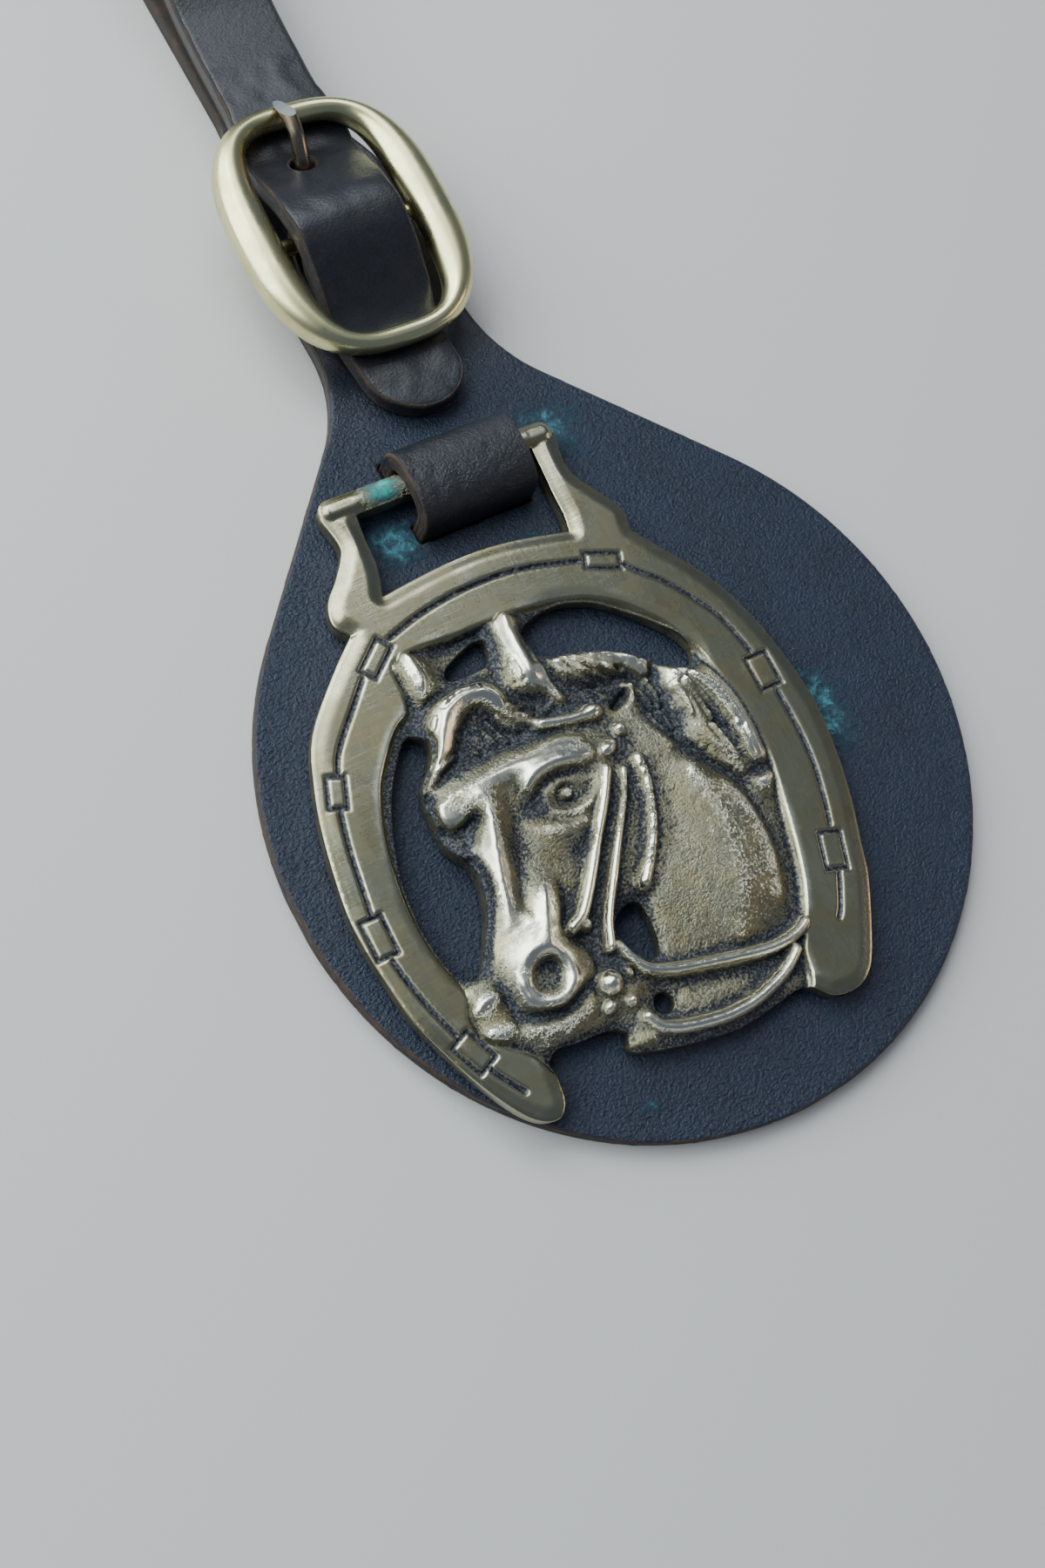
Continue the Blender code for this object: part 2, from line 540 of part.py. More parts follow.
# crests, hollows and edges of the carving, as (x, y, height over the back)
FACE_LINES = {
    "nose": [(-25.3, 2.9, 6.6), (-26.6, -0.2, 6.9), (-27.9, -3.2, 7), (-29.3, -7.3, 6.9),
             (-30.4, -11.2, 6.8), (-31.3, -14.1, 6.6), (-31.9, -17, 6.2), (-32.7, -19.5, 5.6)],
    "beside_nose": [(-22.1, 2.4, 5.2), (-22.2, -0.1, 4.6), (-22.9, -3, 4.3), (-24.4, -6, 4.3),
                    (-25.7, -8.5, 4.4), (-27, -11, 4.9), (-28.6, -14, 5.8)],
    "cheek_ridge": [(-22.9, -9.6, 4.6), (-24.1, -11.2, 5.9), (-25.4, -13.6, 6.3), (-26.8, -16.6, 6.4),
                    (-27.7, -17.7, 6.3)],
    "wall_top": [(-22.5, -10.7, 5.2), (-23.4, -13.3, 5.6), (-25, -16.4, 5.6), (-25, -18.1, 5.2),
                 (-24.4, -20.6, 4.8), (-24.5, -23, 4.4)],
    "wall_foot": [(-20.9, -11, 3.9), (-21.5, -13.5, 3.3), (-22.7, -16.3, 3), (-22.2, -18, 2.6),
                  (-21.3, -20, 2.4), (-21.6, -23, 2.5), (-23.2, -25, 2.6)],
    "nostril_rim": [(-32.3, -20, 6), (-32.2, -22.4, 5.4), (-30.5, -24, 5), (-28.6, -24.4, 4.9),
                    (-26.4, -23.6, 4.8), (-25.5, -21.7, 5), (-25.9, -19.3, 5.6), (-27.1, -17.9, 6.2),
                    (-29.2, -17.2, 6.5), (-31.1, -18, 6.4)],
    "nostril_edge": [(-31.1, -20.6, 5), (-30.4, -22.3, 4.7), (-28.6, -23.2, 4.7), (-26.8, -22.4, 4.8),
                     (-26, -20.6, 4.9), (-26.9, -18.9, 5.4), (-29, -18.5, 5.6), (-30.6, -19.1, 5.4),
                     (-31.1, -20.6, 5)],
    "nostril_floor": [(-29.9, -20.3, 3.8), (-29.3, -21.6, 3.6), (-28, -21.8, 3.2), (-27.1, -21, 3),
                      (-27.3, -20.1, 3.2), (-28.6, -19.8, 3.5), (-29.6, -20.2, 3.7)],
    "mouth": [(-34.2, -22.2, 3), (-33, -24, 2.8), (-30.9, -25, 2.6), (-27.9, -25.5, 2.6),
              (-25.5, -24.9, 2.8), (-24.1, -24.2, 3)],
    "lip_edge": [(-34, -25.6, 4), (-31.5, -26.4, 4.2), (-28.5, -26.7, 4.2), (-25.9, -26.3, 4.1),
                 (-24.3, -25.6, 3.8)],
    "chin": [(-33, -28.1, 3.2), (-28.3, -28.5, 3.2), (-23.9, -27.9, 3)],
    "chin_edge": [(-32, -29.2, 2.4), (-28.3, -29.7, 2.3), (-24.5, -29.7, 2.3)],
    "link_top": [(-39, -20.6, 4.2), (-37.2, -19.7, 4.5), (-35.4, -20, 4.4)],
    "link_bottom": [(-39, -23.6, 4), (-37.2, -24.7, 4), (-35.4, -23.9, 4.1)],
    "link_foot": [(-39.6, -18.6, 3), (-37.5, -17.4, 3.1), (-35.2, -17.6, 3.1), (-34.5, -19.6, 2.9),
                  (-34.3, -22, 2.6), (-34.5, -24.8, 2.8)],
    "brow": [(-31.1, 4.4, 5.6), (-28.2, 4.8, 6), (-25.4, 4.7, 6.7), (-21.6, 4.7, 6.9), (-18.1, 4.4, 7),
             (-14.6, 4.6, 6.9), (-11.6, 4.7, 6.6), (-9.2, 3.8, 6)],
    "brow_top_foot": [(-30.5, 6.4, 4.2), (-27.1, 7.3, 4.4), (-22.8, 7.4, 4.4), (-18.1, 6.9, 4.3),
                      (-13, 6.8, 4.3), (-9, 6, 4.2), (-7.1, 4.8, 4)],
    "far_brow": [(-31.2, 3.8, 5.6), (-31.1, 2.6, 5.4), (-30.2, 1.8, 5.3), (-28.8, 1.9, 5.4),
                 (-27.5, 2.8, 5.8), (-26.2, 3.4, 6.3), (-25.3, 3.5, 6.6)],
    "far_socket": [(-30, 0.8, 3.2), (-27.8, 0.7, 3.2), (-26.6, 1, 3.8)],
    "far_socket_low": [(-28.6, 0, 3.2), (-28.9, -1.5, 3.4)],
    "far_cheek": [(-31.6, 0, 3.4), (-31.1, -1.9, 3.6), (-30.3, -3.2, 3.6)],
    "ledge": [(-19.4, 1.7, 5.8), (-17.8, 3, 6.2), (-15.5, 3.5, 6.4), (-12.8, 3.2, 6.3), (-10.4, 2.7, 6),
              (-8.8, 2.6, 5.6)],
    "fold_over_eye": [(-18.8, 0.2, 4.5), (-17.5, 1.5, 4.7), (-15.3, 2.4, 4.8), (-12.7, 2.2, 4.8),
                      (-10.3, 1.5, 4.7), (-8.5, 1.4, 4.6)],
    "upper_lid": [(-17.5, -0.9, 4.7), (-16.6, 0.4, 5.1), (-14.4, 1.1, 5.3), (-12.2, 0.7, 5.2),
                  (-10.5, -0.4, 4.8)],
    "under_eyeball": [(-16, -1.8, 3.9), (-13.9, -2.5, 3.8), (-11.9, -2.2, 3.9), (-10.1, -1.2, 4.1)],
    "lower_lid": [(-17.1, -2.5, 4.9), (-15.5, -3.6, 5.2), (-13.5, -3.9, 5.3), (-11.4, -3.3, 5.2),
                  (-9.9, -2.3, 5), (-8.3, -0.6, 4.9), (-7.5, 0.3, 4.7)],
    "fold_under_eye": [(-19.1, -1.7, 4.2), (-17.1, -3.3, 4.3), (-14.6, -4.5, 4.4), (-12.1, -4.3, 4.5),
                       (-10.4, -3.4, 4.5)],
    "eye_corner": [(-20.2, -0.5, 4.2), (-18.7, -0.8, 4.1), (-18, -1.1, 4.2)],
    "brow_inner": [(-20.1, 2.9, 5.4), (-19.7, 1.3, 4.7)],
    "cheek_bone": [(-21.1, -2.9, 5), (-19.7, -4.2, 5.3), (-17.5, -5, 5.4), (-15.2, -5.3, 5.3),
                   (-13.3, -5.3, 5.1)],
    "cheek": [(-21.8, -7.1, 4.6), (-19.6, -8.4, 4.3), (-17, -8.6, 4.1), (-15.4, -8.8, 3.9)],
    "cheek_low": [(-20.1, -11, 4.2), (-18.4, -12.4, 3.9), (-17.4, -11.4, 3.9)],
    "jaw": [(-22.8, -19.2, 3.4), (-22.2, -21.6, 3.6), (-22.8, -23.6, 3.6)],
}
EAR_AND_FORELOCK_LINES = {
    "ear_foot": [(-11.7, 25.3, 1.9), (-11.9, 22.5, 2), (-12.4, 19.8, 2.1), (-13.4, 17.4, 2.4),
                 (-14.1, 15.4, 2.9)],
    "ear_left": [(-10.9, 26, 3.9), (-10.9, 23.2, 4.1), (-11.4, 20, 4.4), (-12.3, 17.5, 4.6),
                 (-13.1, 15.2, 4.5)],
    "ear_crest": [(-8.9, 26.2, 5), (-9.5, 23.2, 5.3), (-10, 20.2, 5.5), (-10.3, 17.5, 5.8),
                  (-10.4, 15.4, 5.7), (-11.1, 13.7, 4.6)],
    "ear_right": [(-9.2, 21.5, 4.6), (-9.5, 18.5, 4.7), (-9.5, 15.8, 4.5)],
    "ear_bottom": [(-13.6, 13.4, 3.4), (-12, 12.4, 2.8), (-10, 12.1, 2.6), (-8.7, 11.9, 2.8)],
    "ear_hollow": [(-8.9, 22.4, 3.5), (-8.9, 19, 3.1), (-8.9, 16, 3.1), (-9.3, 13.8, 3.2)],
    "ear_rim": [(-7.9, 24.6, 3.5), (-7.9, 21.5, 3.9), (-7.9, 18.5, 4.1), (-7.9, 16, 4.3), (-8, 13.6, 4.4),
                (-7.6, 11.8, 4.2), (-7.1, 10.4, 3.5)],
    "ear_rim_foot": [(-6.9, 18.9, 2.6), (-6.5, 16.7, 2.6), (-5.9, 14.5, 2.6), (-5.8, 12.1, 2.4)],
    "far_ear_left": [(-26.4, 24.6, 3.2), (-26.3, 22, 3.1), (-26.1, 19.6, 3), (-25.6, 18.2, 2.8)],
    "far_ear_foot": [(-27.1, 24, 1.9), (-26.9, 21, 1.9), (-26.8, 18, 1.9), (-26.6, 16, 2)],
    "far_ear": [(-24.4, 25.3, 4.8), (-24.3, 23, 5), (-24.1, 20.7, 5), (-24.6, 19.3, 4.3),
                (-25.2, 18.3, 3.4)],
    "far_ear_right": [(-21.4, 24.8, 2.3), (-21.1, 22, 2.3), (-21.6, 20.4, 2.6)],
    "far_ear_knob": [(-23.9, 18.9, 3.5), (-22.7, 18.7, 3.4)],
    "between_ears": [(-20, 24.2, 1.3), (-16.1, 24.3, 1.2), (-12.8, 24.1, 1.3)],
    "poll": [(-21.9, 19.6, 2.9), (-20.4, 18.9, 3), (-17, 18.7, 3), (-14.3, 19.2, 2.9)],
    "forelock_foot": [(-28.2, 12.1, 2.4), (-26.7, 15.9, 2.3), (-24.4, 17.6, 2.4), (-20.8, 18.2, 2.5),
                      (-17.2, 18.1, 2.5), (-14.9, 17.3, 2.5), (-14.3, 15.7, 2.9)],
    "forelock_outer": [(-28.3, 10.2, 4.2), (-27.2, 12, 4.6), (-25.7, 14.9, 5.1), (-23.6, 16.6, 5.3),
                       (-20.8, 17.2, 5.3), (-17.8, 17.1, 5.1), (-15.9, 16, 4.6)],
    "forelock": [(-31.2, 7.1, 4.2), (-29.2, 8.6, 4.9), (-27.2, 10.8, 5.6), (-25.4, 13.2, 6),
                 (-23.7, 15.1, 6.2), (-21.2, 16.2, 6.3), (-18.6, 16.2, 6.3), (-16.9, 15, 6.2),
                 (-16.2, 13.5, 5.8), (-16.2, 12.6, 5.2)],
    "forelock_inner": [(-26, 10.2, 4.9), (-24.2, 12.6, 5.3), (-22.3, 14.5, 5.5), (-20.4, 15.3, 5.5),
                       (-18.7, 15.3, 5.5), (-17.8, 14.2, 5.2)],
    "forelock_inside": [(-29.4, 6.9, 3.5), (-26.5, 8.2, 3.3), (-24.4, 10.1, 3.3), (-22.4, 12.3, 3.3),
                        (-20.6, 13.7, 3.4), (-18.9, 13.9, 3.6), (-18.3, 12.9, 3.3), (-18, 12, 3.1)],
    "temple": [(-22.7, 8.9, 3.5), (-21.7, 10.1, 3.7), (-20.4, 10.8, 3.6), (-20, 9.1, 3.6)],
    "under_temple": [(-24, 8.4, 3.1), (-20, 7.9, 3.2), (-17, 8, 3), (-13.8, 8, 3), (-11.3, 7.4, 3.2)],
    "under_forelock": [(-17.8, 10.9, 2.7), (-16, 9.6, 2.7), (-13.8, 9.1, 2.8)],
    "twist": [(-15.8, 12.3, 4.6), (-14.4, 10.8, 4.5), (-13, 9.6, 4.5), (-11.6, 8.8, 4.7)],
    "curls": [(-13.9, 12.4, 3.5), (-12.7, 11.4, 3.4)],
    "under_ear": [(-13.4, 13.4, 2.9), (-12.1, 11.7, 2.7), (-10.1, 10.6, 2.6), (-8, 10.2, 2.6),
                  (-4.9, 9.6, 2.5)],
}
NECK_LINES = {
    "between_straps_1": [(-5.5, -1.1, 3.8), (-8.3, -5.1, 3.8), (-11.7, -9.4, 3.6), (-14.6, -13.1, 3.3),
                         (-17.7, -17.2, 3)],
    "between_straps_2": [(-3.3, -2.4, 3.7), (-4.8, -6, 3.7), (-7.5, -10.5, 3.5), (-10.4, -14, 3.2),
                         (-13.2, -16.5, 2.7)],
    "neck_left": [(0.1, -2.1, 4.2), (-0.6, -6, 4.2), (-2.8, -11.5, 4), (-5.7, -15.5, 3.7),
                  (-7.3, -18.5, 3.4), (-9.9, -19.5, 2.8), (-11.5, -22, 2.5), (-11.9, -25.4, 2.6)],
    "neck_middle": [(2.5, -7, 4.4), (2.4, -12, 4.5), (2, -16, 4.5), (0.7, -23, 4.1), (-1.6, -28, 3.4)],
    "neck_right": [(6.4, -9, 4.3), (8, -14, 4), (7.6, -20, 3.8), (5.9, -26, 3.3)],
    "neck_foot": [(10.3, -12, 2.4), (10.5, -18, 2.2), (9.3, -24, 2), (6.8, -29, 1.9)],
    "neck_low_foot": [(5, -30.3, 2), (1.1, -30, 2.1), (-5.3, -28.6, 2.3), (-10.8, -26.8, 2.4)],
    "neck_top": [(0.6, 4.4, 3.4), (1.6, 1.8, 3.8), (2.5, -1.6, 4)],
    "bit_base": [(-22.5, -26.4, 3.4), (-20.9, -28.2, 3.2), (-17.8, -27, 3), (-17.1, -24, 2.8),
                 (-18.4, -22.2, 2.8)],
    "chest": [(-22.6, -33.2, 2.8), (-20.6, -33.8, 3), (-18.6, -33.6, 3.1)],
    "upper_rein_foot": [(-15.9, -27.6, 2.3), (-13, -29.2, 2.1), (-8.3, -30.9, 2), (-2.8, -32.7, 2),
                        (2.6, -33.5, 2.1)],
    "between_reins": [(-13.1, -31.5, 2.3), (-8, -33.1, 2.3), (-1.8, -34.2, 2.3)],
    "lower_rein_foot": [(-16.8, -33, 2.3), (-13.8, -33.9, 2.2), (-9.5, -34.8, 2.2), (-5, -35, 2.2),
                        (-1, -34.3, 2.2), (2, -33.6, 2.4)],
    "rein_slope": [(-18.3, -35.3, 2.3), (-12.5, -37.2, 2.2), (-6.3, -38, 2.1), (-0.2, -37.4, 2.1),
                   (3, -37, 2.3)],
    "hole_rim": [(-17.4, -21, 3.2), (-16.8, -23.5, 3.2), (-15.8, -25.6, 3.4)],
}
MANE_LINES = {
    "mane_foot": [(3, 8.1, 2.4), (3.7, 4.1, 2.3), (4.9, 0.1, 2.4), (6.2, -2.8, 2.6), (8.1, -6.5, 2.6),
                  (10.1, -9.5, 2.4), (10.9, -11, 2.2)],
    "edge_lock": [(8.2, 8.5, 4.4), (10.2, 6.2, 5.6), (11.9, 2.6, 6.1), (12.7, -1.3, 6.2),
                  (13.2, -5.2, 6.1), (13.3, -8.2, 5.4)],
    "edge_lock_inner": [(10.3, 4.4, 5), (11.1, 0.8, 4.9), (11.9, -2.7, 4.9), (12.2, -6.9, 4.6)],
    "edge_lock_foot": [(10.4, 2.2, 3.4), (11, -0.4, 3.2), (11.5, -3, 3.1), (11.5, -6.5, 3),
                       (11.8, -9.3, 2.8), (13.6, -9.9, 2.9), (15.2, -9.5, 3)],
    "edge_lock_lip": [(11.9, -10.7, 3.6), (13, -11.4, 4), (14.8, -10.9, 3.9)],
    "edge_lock_right": [(13.4, 6.4, 4.4), (14.8, 2.4, 4.9), (15.2, -2.6, 4.9), (14.9, -8, 4.4)],
    "fan_lock": [(7.4, 8.4, 5.2), (8.4, 7.3, 5.5), (8.9, 5.3, 5.3), (8.8, 3.1, 5), (8.7, 1.1, 4.7)],
    "fan_left": [(7.3, 6.6, 4.8), (7.4, 4.6, 4.7), (7.5, 2.3, 4.5)],
    "fan_foot": [(6.4, 7.2, 2.9), (6.5, 5.2, 2.9), (6.7, 2.7, 3)],
    "beside_fan": [(9.9, 5.4, 4), (10, 2.9, 3.6), (10.1, 0.4, 3.3)],
    "fat_lock": [(-0.2, 14.2, 4.4), (1.5, 13.3, 5.1), (3.5, 11.8, 5.4), (4.9, 10.3, 5.2), (5.4, 9.2, 4.4)],
    "fat_lock_edge": [(2.5, 13.3, 4.6), (4.4, 12, 4.8), (6, 10.3, 4.6)],
    "fat_foot": [(6.6, 10.1, 3.2), (6.7, 9.1, 2.8), (6.2, 8, 2.6)],
    "low_lock": [(6.4, -0.4, 4.4), (7.6, -2, 4.9), (9, -4.4, 4.8), (10.4, -6.9, 4.2), (11, -8.6, 3.6)],
    "low_lock_left": [(5.9, -2, 3.9), (7.2, -4.4, 4), (8.9, -6.9, 3.7)],
    "low_lock_right": [(9, 0.1, 4.3), (10, -2.4, 4.2), (10.5, -5.1, 3.9)],
    "basin": [(5.7, 4.6, 2.4), (6.1, 2.8, 2.4), (6.6, 1.2, 2.6)],
    "basin_2": [(11.1, -1.2, 3), (10.9, -3.4, 3.3)],
    "crest_rim": [(-5.9, 16.6, 3.6), (-3.4, 15.9, 3.8), (-1.1, 15.2, 4), (1.2, 14.3, 4.1), (4, 12.6, 4.1),
                  (6.3, 10.9, 4), (8.6, 9, 4), (11, 7.7, 3.6)],
    "lock_a": [(-5.9, 15.9, 4.2), (-6.1, 14.6, 4.3), (-6.6, 13.5, 3.7)],
    "lock_b": [(-4.3, 15.1, 4.7), (-3.1, 13.8, 4.7), (-2, 12.4, 4)],
    "lock_c": [(-2.2, 14.6, 4.7), (-1, 13.3, 4.7), (-0.3, 12, 4)],
    "lock_d": [(-0.3, 13.9, 4.8), (0.8, 12.6, 4.7), (1.3, 11.4, 4)],
    "groove_ab": [(-4.9, 14.9, 3.4), (-4.3, 13.4, 3)],
    "groove_bc": [(-2.7, 13.9, 3.5), (-1.4, 12.4, 3)],
    "groove_cd": [(-0.6, 13.1, 3.5), (0.3, 11.6, 3)],
    "groove_d": [(1.9, 12, 3.5), (2.6, 10.8, 3)],
    "nape": [(-5.2, 12, 2.3), (-2.6, 11, 2.2), (0.5, 10.4, 2.2), (3.4, 9.8, 2.2), (4, 8.4, 2.2)],
    "slot_rim": [(-2.1, 6.3, 2.9), (-0.3, 6.1, 3.1), (1.5, 6.5, 3.1), (2.4, 7.8, 3)],
    "slot_edge": [(-1.6, 6.6, 0.9), (-0.3, 6.9, 0.8), (0.6, 7.5, 0.8), (1.6, 8, 0.9)],
}
STRAPS = {
    "brow_band": (5.3, 1.25, [(-12, 8.5), (-9.9, 8), (-7, 7.4), (-5, 7)]),
    "cheek_strap": (5.6, 1.3, [(-7.6, -0.6), (-10.2, -4.2), (-13.2, -7.6), (-15.8, -10.7), (-18.3, -13.6),
                               (-20.6, -15.9), (-22.6, -16.8)]),
    "nose_strap": (5, 1.15, [(-5.3, -1.6), (-7.1, -4.7), (-9.8, -8.1), (-12.3, -11.3), (-14.9, -14.6),
                             (-17.5, -18.1), (-19, -21.2)]),
    "throat_strap": (5, 1.4, [(-2.4, -1), (-2.9, -4.1), (-4.8, -8.7), (-7.3, -12.6), (-10.3, -15.9)]),
    "upper_rein": (4.5, 1.25, [(-17.9, -21.5), (-17.1, -23.9), (-15.7, -26), (-13.1, -27.4),
                               (-10.5, -28.3), (-5.3, -29.8), (-0.3, -31.1), (2.7, -31.5), (5.6, -31.3),
                               (7.6, -30.6)]),
    "lower_rein": (4.2, 1.35, [(-18.9, -31.2), (-18, -32.9), (-16.4, -34), (-14, -34.9), (-10, -35.9),
                               (-7, -36.2), (-4, -36.1), (0, -35.3), (2.6, -34.3), (4.4, -33.2)]),
}
BEADS = {
    "eyeball": (5.3, (-14.1, -1), (2.3, 1.6), 0),
    "rosette": (5.5, (-5.9, 1.9), (2.5, 1.5), 14),
    "small_rosette": (5.2, (-2.6, 3.7), (1.3, 1.3), 0),
    "brow_band_stud": (5.3, (-5, 7), (1.4, 1.3), 0),
    "bit_ball": (5.6, (-21.4, -25.2), (1.9, 1.8), 0),
    "bit_blob_left": (4.3, (-22.9, -27.8), (1.5, 1.2), 20),
    "bit_blob_right": (4.4, (-19.8, -28.4), (1.1, 1.1), 0),
    "bit_blob_upper": (4.2, (-18.3, -25.2), (0.9, 1.4), 0),
    "cheek_strap_ring": (4.5, (-20.5, -17.2), (1.5, 1.4), 0),
}


def path_distance(x, y, path):
    """Distance from each place to a line."""
    best = np.full(x.shape, 1e9)
    for (x0, y0), (x1, y1) in zip(path[:-1], path[1:]):
        run = (x1 - x0) ** 2 + (y1 - y0) ** 2
        share = np.clip(((x - x0) * (x1 - x0) + (y - y0) * (y1 - y0)) / max(run, 1e-9), 0, 1)
        best = np.minimum(best, np.hypot(x - x0 - share * (x1 - x0), y - y0 - share * (y1 - y0)))
    return best


def depth_inside(x, y, loop):
    """Distance to a closed outline, positive inside it."""
    ring = np.vstack([loop, loop[:1]])
    inside = np.zeros(x.shape, bool)
    for (x0, y0), (x1, y1) in zip(ring[:-1], ring[1:]):
        if y0 != y1:
            inside ^= ((y0 > y) != (y1 > y)) & (x < (x1 - x0) * (y - y0) / (y1 - y0) + x0)
    return np.where(inside, 1, -1) * path_distance(x, y, ring)


def ease(t):
    """A smooth step from 0 to 1."""
    t = np.clip(t, 0, 1)
    return t * t * (3 - 2 * t)


def soft_max(a, b, blend):
    """The greater of two heights, with the corner between them filled over the blend."""
    return np.maximum(a, b) + np.maximum(blend - np.abs(a - b), 0) ** 2 / (4 * blend)


def neighbours(field):
    """Mean of the four values beside each place of a grid."""
    p = np.pad(field, 1, mode="edge")
    return (p[:-2, 1:-1] + p[2:, 1:-1] + p[1:-1, :-2] + p[1:-1, 2:]) / 4


def block_sums(field, step):
    """Sums of a grid over squares of step by step places."""
    rows, columns = -(-field.shape[0] // step), -(-field.shape[1] // step)
    padded = np.zeros((rows * step, columns * step))
    padded[:field.shape[0], :field.shape[1]] = field
    return padded.reshape(rows, step, columns, step).sum((1, 3))


def brass_outline():
    """Outer edge of the casting, round the shoe, the chin, the reins and the hanger."""
    return chain(*SHOE_OUTSIDE, *CHIN_AND_REIN, *RIGHT_HEEL_TO_SHOULDER, *HANGER_OUTSIDE)


def head_gaps():
    """The openings between the head and the shoe, and the hole between the reins."""
    gaps = [smooth(loop, closed=True, steps=2)
            for loop in (GAP_BY_FACE, GAP_BETWEEN_EARS, GAP_BY_CREST, GAP_BY_JAW)]
    return gaps + [circle(*REIN_HOLE, 10)]


def carved_sheet():
    """A sheet stretched over the crests and hollows of the head, on an even grid."""
    x, y = np.meshgrid(np.arange(SHEET_LOW[0], SHEET_HIGH[0], SHEET_CELL),
                       np.arange(SHEET_LOW[1], SHEET_HIGH[1], SHEET_CELL))
    total, hits = np.zeros(x.shape), np.zeros(x.shape)
    for table in (FACE_LINES, EAR_AND_FORELOCK_LINES, NECK_LINES, MANE_LINES):
        for points in table.values():
            line = smooth(points, steps=8)
            stations = along(line[:, :2])
            walk = np.arange(0, stations[-1], SHEET_CELL / 2)
            px, py, pz = (np.interp(walk, stations, column) for column in line.T)
            column = np.round((px - SHEET_LOW[0]) / SHEET_CELL).astype(int)
            row = np.round((py - SHEET_LOW[1]) / SHEET_CELL).astype(int)
            np.add.at(total, (row, column), pz)
            np.add.at(hits, (row, column), 1)
    beyond = depth_inside(x, y, brass_outline()) < 0
    beyond |= depth_inside(x, y, smooth(SHOE_INSIDE, closed=True)) < -SHEET_MARGIN
    for gap in head_gaps():
        beyond |= depth_inside(x, y, gap) > 0
    held = (hits > 0) | beyond
    height = np.where(hits > 0, total / np.maximum(hits, 1), GROUND)
    sheet = None
    for step in SHEET_STEPS:
        count = block_sums(held.astype(float), step)
        value = block_sums(height * held, step) / np.maximum(count, 1)
        if sheet is None:
            sheet = np.full(value.shape, SHOE)
        else:
            sheet = np.repeat(np.repeat(sheet, 2, 0), 2, 1)[:value.shape[0], :value.shape[1]]
        for _ in range(SHEET_PASSES):
            sheet = np.where(count > 0, value, neighbours(sheet))
    for _ in range(SHEET_SOFTENING):
        sheet = (sheet + neighbours(sheet)) / 2
    return sheet


def head_height(x, y):
    """Thickness of the casting over the head, before it is trimmed to its outline."""
    sheet = carved_sheet()
    column = np.clip((x - SHEET_LOW[0]) / SHEET_CELL, 0, sheet.shape[1] - 1.001)
    row = np.clip((y - SHEET_LOW[1]) / SHEET_CELL, 0, sheet.shape[0] - 1.001)
    i, j = column.astype(int), row.astype(int)
    u, v = column - i, row - j
    z = (sheet[j, i] * (1 - u) + sheet[j, i + 1] * u) * (1 - v)
    z += (sheet[j + 1, i] * (1 - u) + sheet[j + 1, i + 1] * u) * v
    for top, (cx, cy), (across, upward), turn in BEADS.values():
        a = math.radians(turn)
        p = (x - cx) * math.cos(a) + (y - cy) * math.sin(a)
        q = (y - cy) * math.cos(a) - (x - cx) * math.sin(a)
        z = soft_max(z, top - BEAD_FALL * ((p / across) ** 2 + (q / upward) ** 2), SOFT_JOIN)
    for top, half, points in STRAPS.values():
        away = path_distance(x, y, smooth(points)) / max(half, STRAP_LEAST_HALF_WIDTH)
        z = soft_max(z, top - STRAP_FALL * away ** 2, SOFT_JOIN)
    return np.maximum(z, LEAST_THICKNESS)


def relief_solid():
    """A slab over the head whose top is the relief, on an even grid."""
    (x0, y0), (x1, y1) = RELIEF_LOW, RELIEF_HIGH
    columns, rows = round((x1 - x0) / RELIEF_CELL), round((y1 - y0) / RELIEF_CELL)
    bpy.ops.mesh.primitive_grid_add(x_subdivisions=columns, y_subdivisions=rows, size=1.0)
    item = bpy.context.object
    item.name = "relief"
    shape = bmesh.new()
    shape.from_mesh(item.data)
    sheet = shape.verts[:]
    walls = bmesh.ops.extrude_face_region(shape, geom=shape.faces[:])
    upper = [vert for vert in walls["geom"] if isinstance(vert, bmesh.types.BMVert)]
    place = np.array([(vert.co.x, vert.co.y) for vert in upper])
    x = (x0 + x1) / 2 + place[:, 0] * (x1 - x0)
    y = (y0 + y1) / 2 + place[:, 1] * (y1 - y0)
    shoe = -depth_inside(x, y, smooth(SHOE_INSIDE, closed=True))
    z = head_height(x, y) - SHOE * ease(shoe / SINK_WIDTH)
    z = np.where((shoe > SINK_START) & (z < SHOE + SOFT_JOIN), SHOE - SINK_DEPTH, z)
    for vert, place_x, place_y, height in zip(upper, x, y, z):
        vert.co = (place_x * MM, place_y * MM, (BACK + height) * MM)
    for vert in sheet:
        place_x = (x0 + x1) / 2 + vert.co.x * (x1 - x0)
        place_y = (y0 + y1) / 2 + vert.co.y * (y1 - y0)
        vert.co = (place_x * MM, place_y * MM, (BACK - SHOE) * MM)
    bmesh.ops.recalc_face_normals(shape, faces=shape.faces)
    shape.to_mesh(item.data)
    shape.free()
    return item


